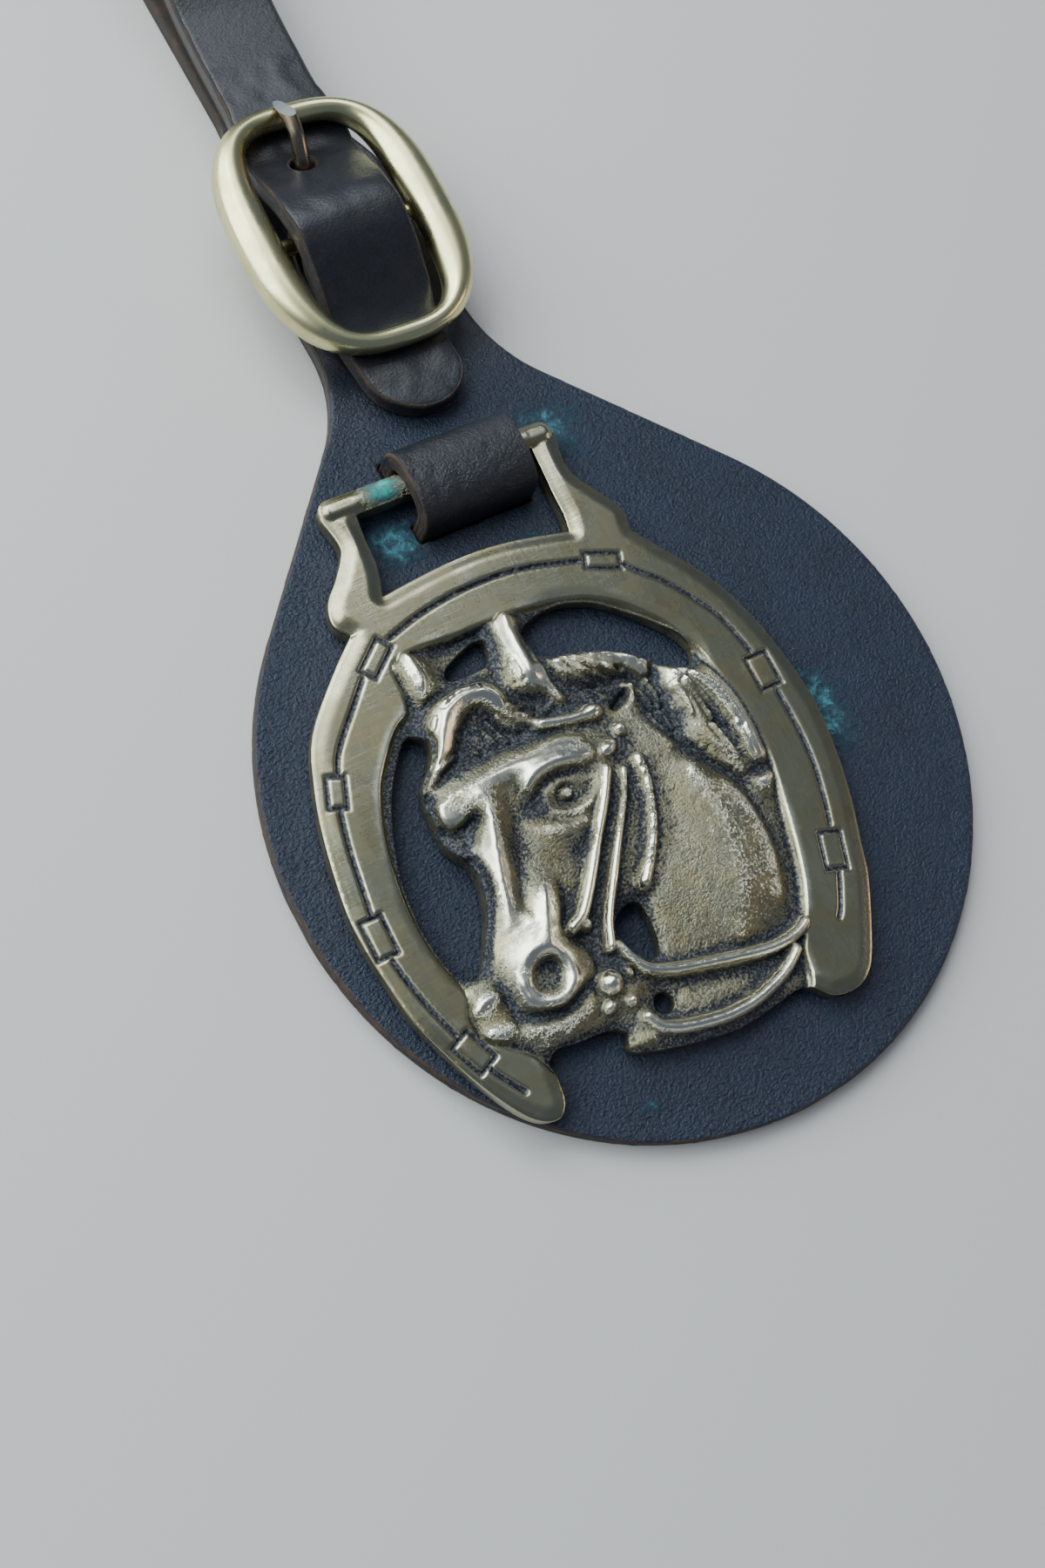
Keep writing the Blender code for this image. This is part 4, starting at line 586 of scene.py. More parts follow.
def make_raw_fibres():
    """Loose fibres of a cut edge or of the flesh side."""
    tree, given, result = new_group(
        "raw_fibres", [("Fibres per Metre", "Float", 1400.0)], [("Height", "Float"), ("Tone", "Float")])
    fine = noise_field(tree, given[0], 8.0, 0.8, distortion=1.2)
    broad = noise_field(tree, 260.0)
    tree.links.new(scaled(tree, broad, 0.6, fine), result.inputs[0])
    tree.links.new(spread_out(tree, plus(tree, fine, broad), 0.75, 1.3), result.inputs[1])
    return tree


def make_verdigris():
    """Turquoise copper salts, powdery at the edge of each growth and crusted in its middle."""
    tree, given, result = new_group(
        "verdigris", [("Growth", "Float", 0.0), ("Thin Colour", "Color", (0.03, 0.13, 0.16, 1)),
                      ("Crust Colour", "Color", (0.03, 0.42, 0.36, 1))],
        [("Cover", "Float"), ("Color", "Color"), ("Height", "Float")])
    speckle = noise_field(tree, 650.0, 8.0, 0.75, distortion=0.6)
    patches = noise_field(tree, 190.0, 5.0, 0.65)
    ragged = plus(tree, times(tree, speckle, 1.5), times(tree, patches, 0.9))
    growth = plus(tree, given[0], minus(tree, ragged, 1.56))
    growth = times(tree, growth, spread_out(tree, given[0], 0.0, 0.2))
    cover = spread_out(tree, growth, 0.0, 0.55, 0.0, 0.96)
    tree.links.new(cover, result.inputs[0])
    deep = spread_out(tree, plus(tree, growth, times(tree, speckle, 0.5)), 0.45, 1.05)
    tree.links.new(tint(tree, deep, given[1], given[2]), result.inputs[1])
    tree.links.new(times(tree, cover, plus(tree, speckle, 0.3)), result.inputs[2])
    return tree


LEATHER_GRAIN = make_leather_grain()
RAW_FIBRES = make_raw_fibres()
VERDIGRIS_CRUST = make_verdigris()
# colours as (in the hollows, on the tops)
BACKING_BLACK = ((0.0030, 0.0056, 0.0140), (0.0115, 0.020, 0.043))
# the strap's brown-black dye, tinted blue as a painted sheen
STRAP_BLACK_AND_BLUE_SHEEN = ((0.0065, 0.0062, 0.0075), (0.017, 0.018, 0.023))
EDGE_BROWN = ((0.012, 0.008, 0.006), (0.085, 0.050, 0.030))
LEATHER_GROWTH = {"Thin Colour": (0.035, 0.10, 0.14, 1), "Crust Colour": (0.06, 0.25, 0.29, 1)}
DULL_ROUGHNESS, GLOSS_ROUGHNESS, CRUST_ROUGHNESS = (0.50, 0.31), (0.40, 0.30), 0.85
STRAP_EDGE_DYE, WORN_RIM_SHARE, FIBRE_SHARE, BARE_RANGE = 0.6, 0.75, 0.35, (0.4, 1.1)
PORE_DEPTH, LEATHER_BUMP = 0.35, 0.23


def harness_leather(name, disc_colours):
    """Dyed harness leather: pebbled or burnished grain, raw brown edges, and a fuzzy flesh side."""
    material, tree, shader = new_surface(name)
    burnish, cut, flesh = (stored(tree, title) for title in ("burnish", "cut_edge", "flesh_side"))
    pebbles = use_group(tree, LEATHER_GRAIN, {"Pebbles per Metre": 2500.0})
    pores = use_group(tree, LEATHER_GRAIN, {"Pebbles per Metre": 3000.0, "Smoothness": 0.6})
    fibres = use_group(tree, RAW_FIBRES, {"Fibres per Metre": 1500.0})
    growth = use_group(tree, VERDIGRIS_CRUST, {"Growth": stored(tree, "verdigris"), **LEATHER_GROWTH})
    black = tint(tree, pebbles["Tone"], *disc_colours)
    # burnished brown-black with a painted blue sheen
    strap_black_and_sheen = tint(tree, pores["Tone"], *STRAP_BLACK_AND_BLUE_SHEEN)
    grain = tint(tree, burnish, black, strap_black_and_sheen)
    undyed = minus(tree, 1.0, times(tree, burnish, STRAP_EDGE_DYE))
    bare = larger(tree, times(tree, cut, undyed), flesh)
    bare = larger(tree, bare, times(tree, stored(tree, "worn_rim"), WORN_RIM_SHARE))
    bare = spread_out(tree, plus(tree, bare, times(tree, fibres["Tone"], FIBRE_SHARE)), *BARE_RANGE)
    colour = tint(tree, bare, grain, tint(tree, fibres["Tone"], *EDGE_BROWN))
    colour = tint(tree, growth["Cover"], colour, growth["Color"])
    tree.links.new(colour, shader.inputs["Base Color"])
    dull = spread_out(tree, pebbles["Tone"], 0.0, 1.0, *DULL_ROUGHNESS)
    gloss = spread_out(tree, pores["Tone"], 0.0, 1.0, *GLOSS_ROUGHNESS)
    unpolished = times(tree, larger(tree, bare, growth["Cover"]), CRUST_ROUGHNESS)
    roughness = larger(tree, between(tree, burnish, dull, gloss), unpolished)
    tree.links.new(roughness, shader.inputs["Roughness"])
    relief = between(tree, burnish, pebbles["Height"], times(tree, pores["Height"], PORE_DEPTH))
    relief = between(tree, bare, relief, fibres["Height"])
    add_bump(tree, shader, plus(tree, relief, growth["Height"]), LEATHER_BUMP)
    return material


backing = make_backing()
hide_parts("leather_backing")
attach(backing, "backing")

# ------------------------------------------------------------- hanger loop
# A short, thick leather strip that arches over the round bar of the brass. Its two ends go
# down through slits in the backing. Its raw sides show brown fibres.

LOOP_SPRING = 5.0
LOOP_TOP = 10.0
LOOP_SQUARENESS = 2.5
LOOP_RIM = 0.45
STRIP_CELL = 0.4
STRIP_EDGE_UNEVEN = ((1.1, 5.0, 0.2),)
STRIP_EDGE_CUT_BACK = 0.08
STRIP_FACE_UNEVEN = ((1.6, 7.0, 0.22),)
STRIP_SHINE = 0.5
STRIP_VERDIGRIS = 0.25


def bent_strip(name, line, width, leather, middle_x, rim):
    """A leather strip bent along a line of (Y, height) points, its sides cut raw."""
    length = along(line)[-1]
    half = width / 2
    corners = np.array([(-half, 0), (half, 0), (half, length), (-half, length)])
    places, faces, side, _ = cut_sheet(
        lambda x, y: depth_inside(x, y, corners), (-half - 1, -1), (half + 1, length + 1),
        STRIP_CELL, rim, lambda x, y: np.full(x.shape, leather))
    x, y, z = places.T
    cut = ((side > 0) & (side < 1)).astype(float)
    x = x - np.sign(x) * cut * np.maximum(layered(places, STRIP_EDGE_UNEVEN) + STRIP_EDGE_CUT_BACK, 0)
    z = z - (side == 1.0) * np.maximum(layered(places, STRIP_FACE_UNEVEN), 0)
    strip_y, strip_z = bend_along(np.clip(y, 0, length), z - leather / 2, line)
    places = np.column_stack([x + middle_x, strip_y, strip_z])
    worn_rim = (side == 1.0) & rim_places(side, depth_inside(x, y, corners), rim)
    values = {"cut_edge": cut, "worn_rim": worn_rim.astype(float),
              "flesh_side": (side == 0).astype(float), "burnish": np.full(len(x), STRIP_SHINE),
              "verdigris": verdigris_cover(places) * STRIP_VERDIGRIS}
    return mesh_piece(name, places, faces, values)


def make_hanger_loop():
    middle = sum(LOOP_Y) / 2
    half = (LOOP_Y[1] - LOOP_Y[0]) / 2 - LOOP_LEATHER / 2
    rise = LOOP_TOP - LOOP_SPRING - LOOP_LEATHER / 2
    arch = ellipse((middle, LOOP_SPRING), (half, rise), 0.0, 180.0, 41, LOOP_SQUARENESS)
    line = np.vstack([[(middle + half, GAP)], arch, [(middle - half, GAP)]])[::-1]
    piece = bent_strip("hanger_loop_skin", line, LOOP_X[1] - LOOP_X[0], LOOP_LEATHER,
                       sum(LOOP_X) / 2, LOOP_RIM)
    piece.data.materials.append(STRAP_LEATHER)
    return piece


STRAP_LEATHER = harness_leather("strap_leather", STRAP_BLACK_AND_BLUE_SHEEN)
hanger_loop = make_hanger_loop()
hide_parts("hanger_loop")
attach(hanger_loop, "backing")

# ------------------------------------------------------------------ buckle
# A cast centre-bar buckle in pale, polished brass. Its sides are broad and deep, its ends
# are slim, and all of its edges are rounded off by wear. Its bar carries chape and tongue.

BUCKLE = (-1.5, 85.3, 9.3)
FRAME_HALF_SIZE = (16.7, 19.8)
WINDOW_HALF_SIZE = (10.2, 16.6)
FRAME_SQUARENESS, WINDOW_SQUARENESS = 2.6, 4.0
FRAME_STEPS, BAR_STEPS = 168, 32
FRAME_PITCH = 3.5
FRAME_CREASE = 50.0
SIDE_BAR_DEPTH = 5.6
END_BAR_DEPTH = 3.2
DEPTH_POWER = 1.5
CENTRE_BAR_RADIUS = 1.2
CENTRE_BAR_HEIGHT = 7.6
# painted shade darkens the centre bar where the strap covers it, as far as the inner sides of the frame
BAR_SHADE_REACH, BAR_SHADE_HALF_LENGTH = 2.6, 9.6


def full_turn(count):
    """Even angles once round a circle."""
    return np.radians(np.arange(count) * 360.0 / count)


def ring_mesh(name, rings, closed):
    """A skin over rings of places, closed on itself or capped at both ends."""
    rings = np.array(rings)
    count, sides = rings.shape[:2]
    faces = []
    for i in range(count if closed else count - 1):
        for k in range(sides):
            j, m = (i + 1) % count, (k + 1) % sides
            faces.append([i * sides + k, j * sides + k, j * sides + m, i * sides + m])
    if not closed:
        faces.append(list(range(sides)))
        faces.append([(count - 1) * sides + k for k in reversed(range(sides))])
    return mesh_piece(name, rings.reshape(-1, 3), faces)


def round_rod(name, line, radius, sides=24):
    """A round rod along 3-D points."""
    line = np.array(line, float)
    ahead = np.gradient(line, axis=0)
    ahead /= np.linalg.norm(ahead, axis=1)[:, None]
    first = np.array([0.0, 0.0, 1.0])
    turn = full_turn(sides)
    rings = []
    for point, direction in zip(line, ahead):
        across = np.cross(direction, first)
        across /= np.linalg.norm(across)
        first = np.cross(across, direction)
        rings.append(point + radius * (np.outer(np.cos(turn), across) + np.outer(np.sin(turn), first)))
    return ring_mesh(name, rings, closed=False)


def combine(piece, tool, operation):
    """Join another solid to a piece or cut it away, and keep only the result."""
    step = piece.modifiers.new(operation.title(), "BOOLEAN")
    step.operation = operation
    step.solver = "EXACT"
    step.object = tool
    bpy.context.view_layer.update()
    result = bpy.data.meshes.new_from_object(piece.evaluated_get(bpy.context.evaluated_depsgraph_get()))
    piece.modifiers.clear()
    piece.data = result
    bpy.data.objects.remove(tool, do_unlink=True)


def make_buckle():
    outer = ellipse((0, 0), FRAME_HALF_SIZE, count=FRAME_STEPS + 1, power=FRAME_SQUARENESS)
    inner = ellipse((0, 0), WINDOW_HALF_SIZE, count=FRAME_STEPS + 1, power=WINDOW_SQUARENESS)
    turn = full_turn(BAR_STEPS)
    pitch = math.radians(FRAME_PITCH)
    rings = []
    for i in range(FRAME_STEPS):
        middle, half = (outer[i] + inner[i]) / 2, (outer[i] - inner[i]) / 2
        sideways = abs(math.cos(2 * math.pi * i / FRAME_STEPS)) ** DEPTH_POWER
        depth = (END_BAR_DEPTH + (SIDE_BAR_DEPTH - END_BAR_DEPTH) * sideways) / 2
        flat = middle + np.outer(np.cos(turn), half)
        height = depth * np.sin(turn)
        rings.append(np.column_stack([
            BUCKLE[0] + flat[:, 0],
            BUCKLE[1] + flat[:, 1] * math.cos(pitch) - height * math.sin(pitch),
            BUCKLE[2] + flat[:, 1] * math.sin(pitch) + height * math.cos(pitch)]))
    frame_ring = ring_mesh("buckle_frame_skin", rings, closed=True)
    reach = (FRAME_HALF_SIZE[0] + WINDOW_HALF_SIZE[0]) / 2
    bar_line = [(BUCKLE[0] + x, BUCKLE[1], CENTRE_BAR_HEIGHT) for x in (-reach, 0.0, reach)]
    combine(frame_ring, round_rod("centre_bar", bar_line, CENTRE_BAR_RADIUS), "UNION")
    frame_ring.data.shade_smooth()
    frame_ring.data.set_sharp_from_angle(angle=math.radians(FRAME_CREASE))
    places = np.array([vertex.co for vertex in frame_ring.data.vertices]) / MM
    bar = np.hypot(places[:, 1] - BUCKLE[1], places[:, 2] - CENTRE_BAR_HEIGHT)
    between_sides = np.abs(places[:, 0] - BUCKLE[0]) < BAR_SHADE_HALF_LENGTH
    # painted shade round the centre bar, where the strap covers it
    painted_bar_shade = frame_ring.data.attributes.new("painted_bar_shade", "FLOAT", "POINT")
    painted_bar_shade.data.foreach_set("value", np.clip(BAR_SHADE_REACH - bar, 0, 1) * between_sides)
    frame_ring.data.materials.append(POLISHED_BRASS)
    return frame_ring


def make_worn_metal():
    """Fine scratches in two directions and soft dull patches where hands and leather rubbed."""
    tree, given, result = new_group(
        "worn_metal", [("Scratches", "Float", 0.5)], [("Height", "Float"), ("Dull", "Float")])
    lengthwise = noise_field(tree, 300.0, 6.0, 0.7, (6.0, 0.35, 1.0))
    crosswise = noise_field(tree, 240.0, 6.0, 0.7, (0.5, 7.0, 1.0))
    fine = times(tree, plus(tree, lengthwise, crosswise), given[0])
    patches = noise_field(tree, 110.0, 6.0, 0.62, distortion=0.4)
    tree.links.new(fine, result.inputs[0])
    tree.links.new(spread_out(tree, patches, 0.38, 0.66), result.inputs[1])
    return tree


def bare_metal(name, scratches, colours, marks, mark_colour, roughness, bump):
    """Scratched metal with marks of another colour.

    The first colour and roughness are for the bright places and the second for the dull
    ones. marks is the stored value that the marks follow. bump is a depth and a strength.
    """
    material, tree, shader = new_surface(name)
    wear = use_group(tree, WORN_METAL, {"Scratches": scratches})
    colour = tint(tree, wear["Dull"], *colours)
    colour = tint(tree, stored(tree, marks), colour, mark_colour)
    tree.links.new(colour, shader.inputs["Base Color"])
    tree.links.new(spread_out(tree, wear["Dull"], 0.0, 1.0, *roughness), shader.inputs["Roughness"])
    shader.inputs["Metallic"].default_value = 1.0
    add_bump(tree, shader, wear["Height"], *bump)
    return material


WORN_METAL = make_worn_metal()
# the dark marks on the buckle are painted shade on its centre bar
POLISHED_BRASS = bare_metal(
    "polished_brass", scratches=0.6, colours=((0.80, 0.745, 0.42), (0.68, 0.62, 0.33)),
    marks="painted_bar_shade", mark_colour=(0.06, 0.045, 0.03), roughness=(0.24, 0.34), bump=(0.02, 0.15))
buckle = make_buckle()
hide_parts("buckle_frame")
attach(buckle, "backing")

# ------------------------------------------------------------------- chape
# A thin leather strip folded round the centre bar, its two ends lying one over the other on
# the neck, under the strap. A slot at the fold lets the tongue through.

CHAPE_LEATHER = 1.1
CHAPE_HALF_WIDTH = 7.5
CHAPE_RIM = 0.25
CHAPE_WRAP = (-70.0, 205.0)
# the two ends beyond the wrap, as (distance from the bar, height over the lie of the end)
CHAPE_LOWER_END = ((8.8, 0.0), (5.5, 0.0), (2.2, 0.15))
CHAPE_UPPER_END = ((3.3, 1.1), (5.8, 0.2), (8.8, 0.05))
TONGUE_WIDTH = 2.6
SLOT_HALF_LENGTH, SLOT_AHEAD, SLOT_OVER_BAR = 3.7, 0.3, 5.0
BOX_CORNERS = np.array([(-1, -1, -1), (1, -1, -1), (1, 1, -1), (-1, 1, -1),
                        (-1, -1, 1), (1, -1, 1), (1, 1, 1), (-1, 1, 1)])
BOX_FACES = [[0, 1, 2, 3], [4, 5, 6, 7], [0, 1, 5, 4], [1, 2, 6, 5], [2, 3, 7, 6], [3, 0, 4, 7]]


def cutting_box(name, middle, half_sizes, tilt=0.0):
    """A box to cut with, tilted about the X axis."""
    corners = []
    for across, ahead, rise in BOX_CORNERS * np.array(half_sizes):
        corners.append((middle[0] + across,
                        middle[1] + ahead * math.cos(tilt) - rise * math.sin(tilt),
                        middle[2] + ahead * math.sin(tilt) + rise * math.cos(tilt)))
    return mesh_piece(name, np.array(corners), BOX_FACES)


def make_chape():
    y, z = BUCKLE[1], CENTRE_BAR_HEIGHT
    around = CENTRE_BAR_RADIUS + GAP + CHAPE_LEATHER / 2
    floor = LEATHER + GAP + CHAPE_LEATHER / 2
    wrap = ellipse((y, z), (around, around), *CHAPE_WRAP, 40)
    lower_end = [(y - away, floor + rise) for away, rise in CHAPE_LOWER_END]
    upper_end = [(y - away, floor + CHAPE_LEATHER + rise) for away, rise in CHAPE_UPPER_END]
    line = smooth([*lower_end, *wrap[::4], *upper_end], steps=4)
    piece = bent_strip("buckle_chape_skin", line, 2 * CHAPE_HALF_WIDTH, CHAPE_LEATHER,
                       BUCKLE[0], CHAPE_RIM)
    half_sizes = (TONGUE_WIDTH / 2 + GAP, SLOT_HALF_LENGTH, (z + SLOT_OVER_BAR) / 2)
    slot = cutting_box("tongue_slot", (TONGUE_X, y + SLOT_AHEAD, half_sizes[2]), half_sizes)
    combine(piece, slot, "DIFFERENCE")
    piece.data.materials.clear()
    piece.data.materials.append(STRAP_LEATHER)
    return piece


chape = make_chape()
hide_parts("buckle_chape")
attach(chape, "backing")

# ------------------------------------------------------------------ tongue
# A bent steel wire, once plated and now brownish. Its eye turns on the centre bar, and it
# rises through the punched hole of the strap to a tip that is ground off at a slant.

TONGUE_WIRE_RADIUS = 1.15
TONGUE_EYE_RADIUS = 2.7
TONGUE_LINE = [(87.2, 6.5), (90.5, 5.9), (93.0, 6.5), (94.9, 8.6), (96.6, 11.2), (98.9, 13.1),
               (102, 13.7), (105, 13.3)]
TIP_CUT, TIP_CUT_HALF = (TONGUE_X, 103.6, 15.1), (3, 5, 2)
TIP_TILT = math.radians(-27.5)
TIP_FACE_FROM = 98.0
TIP_FACE_MATCH = 0.98
TONGUE_CREASE = 30.0


def make_tongue():
    y, z = BUCKLE[1], CENTRE_BAR_HEIGHT
    line = smooth(TONGUE_LINE, steps=8)
    wire = round_rod("buckle_tongue_skin", np.column_stack([np.full(len(line), TONGUE_X), line]),
                     TONGUE_WIRE_RADIUS, 28)
    bore = CENTRE_BAR_RADIUS + GAP
    half_wall = (TONGUE_EYE_RADIUS - bore) / 2
    turn = full_turn(24)
    rings = []
    for angle in full_turn(60):
        radius = (bore + TONGUE_EYE_RADIUS) / 2 + half_wall * np.cos(turn)
        rings.append(np.column_stack([TONGUE_X + TONGUE_WIDTH / 2 * np.sin(turn),
                                      y + radius * math.cos(angle), z + radius * math.sin(angle)]))
    combine(wire, ring_mesh("tongue_eye", rings, closed=True), "UNION")
    combine(wire, cutting_box("tip_cut", TIP_CUT, TIP_CUT_HALF, TIP_TILT), "DIFFERENCE")
    wire.data.shade_smooth()
    wire.data.set_sharp_from_angle(angle=math.radians(TONGUE_CREASE))
    wire.data.materials.clear()
    wire.data.materials.append(TONGUE_STEEL)
    slant = Vector((0, -math.sin(TIP_TILT), math.cos(TIP_TILT)))
    ground = wire.data.attributes.new("ground", "FLOAT", "FACE")
    for k, face in enumerate(wire.data.polygons):
        at_tip = face.center.y > TIP_FACE_FROM * MM
        ground.data[k].value = float(face.normal.dot(slant) > TIP_FACE_MATCH and at_tip)
    return wire


TONGUE_STEEL = bare_metal(
    "tongue_steel", scratches=0.9, colours=((0.30, 0.245, 0.19), (0.13, 0.095, 0.065)),
    marks="ground", mark_colour=(0.72, 0.73, 0.74), roughness=(0.26, 0.42), bump=(0.03, 0.5))
tongue = make_tongue()
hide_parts("buckle_tongue")
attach(tongue, "backing")

# ------------------------------------------------------------- horse brass
# One casting in yellow brass: a horseshoe with its fuller and nail heads, a bridled horse's
# head in openwork, and a hanger with a round bar. Dark patina fills the hollows, with painted
# shade in some low places, and the high places are rubbed to pale gold, which also stands in
# as painted highlight.

BACK = LEATHER + GAP
SHOE = 3.0
GROUND = 1.7
BAR_Y = 47.4
BAR_RADIUS = 1.75
HANGER_X = (-24.6, 12.4)
HANGER_WINDOW_TOP = 45.7
BAR_END = 1.5
BRASS_LOW, BRASS_HIGH = (-48.5, -43.0), (28.5, 50.5)
BRASS_CELL = 0.25
BRASS_RIM = 0.25
BRASS_CREASE = 65.0
GAP_REACH = 6.0
SHEET_CELL = 0.25
SHEET_LOW = (-42.0, -40.5)
SHEET_HIGH = (18.0, 28.5)

SHOE_OUTSIDE = [
    [(-29.2, 30.4), (-34.1, 26.3), (-40.2, 20.2), (-43.2, 14.1), (-45.3, 7.5), (-47, -1), (-47.3, -6),
     (-46.9, -11.8), (-46.1, -17.9), (-44.2, -24), (-42.2, -29), (-39.9, -33.4), (-37.8, -35.9),
     (-35.5, -36.7), (-33.9, -35.3), (-33.3, -32.5), (-33.1, -30.2)]]
CHIN_AND_REIN = [
    [(-33.1, -30.2), (-31.5, -29.2), (-28, -29.9), (-25, -30.2), (-23, -30.8), (-21.8, -31.9)],
    [(-21.8, -31.9), (-22.9, -33.7), (-21.4, -34.9), (-16.8, -36.5), (-8.7, -38.4), (-3.7, -38.4),
     (1.4, -38), (3.4, -38.1)]]
RIGHT_HEEL_TO_SHOULDER = [
    [(3.4, -38.1), (4.6, -39.2), (6.3, -41), (9.3, -41.7), (12.2, -41), (15, -38.2), (20.1, -30),
     (22.1, -25), (24.4, -19), (26.1, -13), (27.2, -7), (27.4, -2), (27, 3), (26, 9), (24.5, 14),
     (22.3, 19), (17.5, 26.2), (15.6, 29)]]
HANGER_OUTSIDE = [
    [(15.6, 29), (16.2, 32.4), (13.7, 37), (12.4, 39.2), (11.9, 41.4), (12.2, 44), (12.9, 46.6),
     (HANGER_X[1], BAR_Y)],
    [(HANGER_X[1], BAR_Y), (HANGER_X[0], BAR_Y)],
    [(HANGER_X[0], BAR_Y), (-25, 46.9), (-24.4, 42.6), (-25.3, 40.6), (-27.3, 38.2), (-29.8, 35.6),
     (-30.6, 32.6), (-29.2, 30.4)]]
SHOE_INSIDE = [
    (5.2, -34), (6.6, -31.8), (8.6, -29), (10.6, -25.5), (12.1, -21.5), (13.5, -17), (15.6, -9.5), (16, -5),
    (15.9, 0), (15.1, 7.5), (14.2, 10.6), (12.3, 14.3), (10, 17.2), (7.5, 19.7), (4, 21.9), (0, 23.2),
    (-4, 23.8), (-9, 24.3), (-15, 24.3), (-21, 24.7), (-25.8, 24.2), (-26.3, 20.5), (-27.2, 17.6),
    (-30, 15.9), (-34.2, 11.4), (-36, 8.4), (-37.6, 4.4), (-38.7, 0), (-39.4, -5), (-39.6, -9),
    (-39.2, -13), (-38.4, -16.2), (-38.3, -18.6), (-39.4, -20.6), (-39.3, -23.6), (-37.4, -25.4),
    (-34.4, -28.2), (-33, -31.5), (-31, -36), (-24, -41), (-10, -42.5), (0, -41.5), (4.0, -38)]
HANGER_WINDOW = [
    [(8.3, HANGER_WINDOW_TOP), (7.7, 39), (7.5, 35), (6.9, 32.4)],
    [(6.9, 32.4), (3, 33.3), (-2, 34.3), (-7, 34.8), (-12, 34.8), (-18, 34.3), (-22.4, 33.8)],
    [(-22.4, 33.8), (-21.4, 36.4), (-20.8, 39), (-20.5, 42.5), (-20, HANGER_WINDOW_TOP)],
    [(-20, HANGER_WINDOW_TOP), (8.3, HANGER_WINDOW_TOP)]]
GAP_BY_FACE = [
    (-29.2, 14.9), (-32, 12.1), (-34.5, 8.7), (-36.6, 4.5), (-38.2, 0), (-39.1, -4), (-39.4, -8.5),
    (-39, -13), (-37.9, -16.1), (-36.5, -16.9), (-34.9, -15.8), (-31.6, -10.8), (-30.4, -8), (-29.9, -5.5),
    (-30.1, -3.4), (-31.1, -1.8), (-31.8, 0.5), (-31.3, 6.6), (-30.2, 8.5), (-28.4, 10.1), (-27, 12.4),
    (-27.3, 14)]
GAP_BETWEEN_EARS = [
    (-20.2, 20.2), (-19.8, 19.3), (-17.5, 19.1), (-15.2, 19.1), (-13.6, 19.8), (-12.9, 21.0), (-12.6, 23),
    (-14.8, 23.1), (-18.9, 21.6)]
GAP_BY_CREST = [
    (-7.6, 21.4), (-7.7, 19.5), (-7.2, 17.9), (-4.7, 16.6), (1.4, 14.6), (4.3, 12.8), (7.3, 10.2),
    (9.6, 8.4), (11.6, 7.7), (13.5, 7.9), (14.5, 9.4), (14, 12), (12.2, 14.7), (9.5, 17.7), (5.5, 21.1),
    (1.5, 22.9), (-2, 23.4), (-5.5, 22.8)]
GAP_BY_JAW = [
    (-16.7, -20.8), (-16.2, -19.1), (-14.8, -17.8), (-12.8, -17.4), (-11.5, -18.3), (-11.6, -21),
    (-12.2, -24), (-13.2, -25.2), (-15.3, -24.8), (-16.2, -22.8)]
REIN_HOLE = ((-15.5, -30.8), 1.45)
# nail heads: middle, turn, length, width; the fuller between them follows the web
NAILS = [
    ((-27.7, 26.1), 38, 4.8, 1.9), ((-41.0, 12.0), 68, 3.8, 2.0), ((-45.0, -6.8), 88, 4.8, 2.4),
    ((-41.3, -24.6), 112, 4.4, 2.5), ((8.9, 26.4), -22, 4.8, 1.9), ((22.4, 2.5), 88, 4.6, 3.1),
    ((17.3, -24.2), 70, 4.8, 2.9)]
FULLER = [
    [(-30.8, 24.2), (-33, 22), (-38, 17), (-39.8, 14)], [(-41.8, 9.6), (-43, 5), (-43.9, 0), (-44.6, -4)],
    [(-45, -9), (-44.7, -12), (-43.7, -17), (-42.2, -22)], [(-40.8, -26.6), (-39.9, -28.5), (-37.9, -31.8)],
    [(-24.8, 27.9), (-20, 29.2), (-15, 30), (-10, 30.3), (-5, 30.1), (0, 29.2), (5.8, 27.6)],
    [(11.2, 25), (13, 23), (16, 20), (19, 15.5), (21, 11.5), (22.4, 5)],
    [(22.7, -1), (22.5, -7), (21.8, -12), (20.4, -17), (19, -20.8)],
    [(16.6, -26.6), (15.9, -28), (13.9, -31.2), (12.8, -32.4)]]

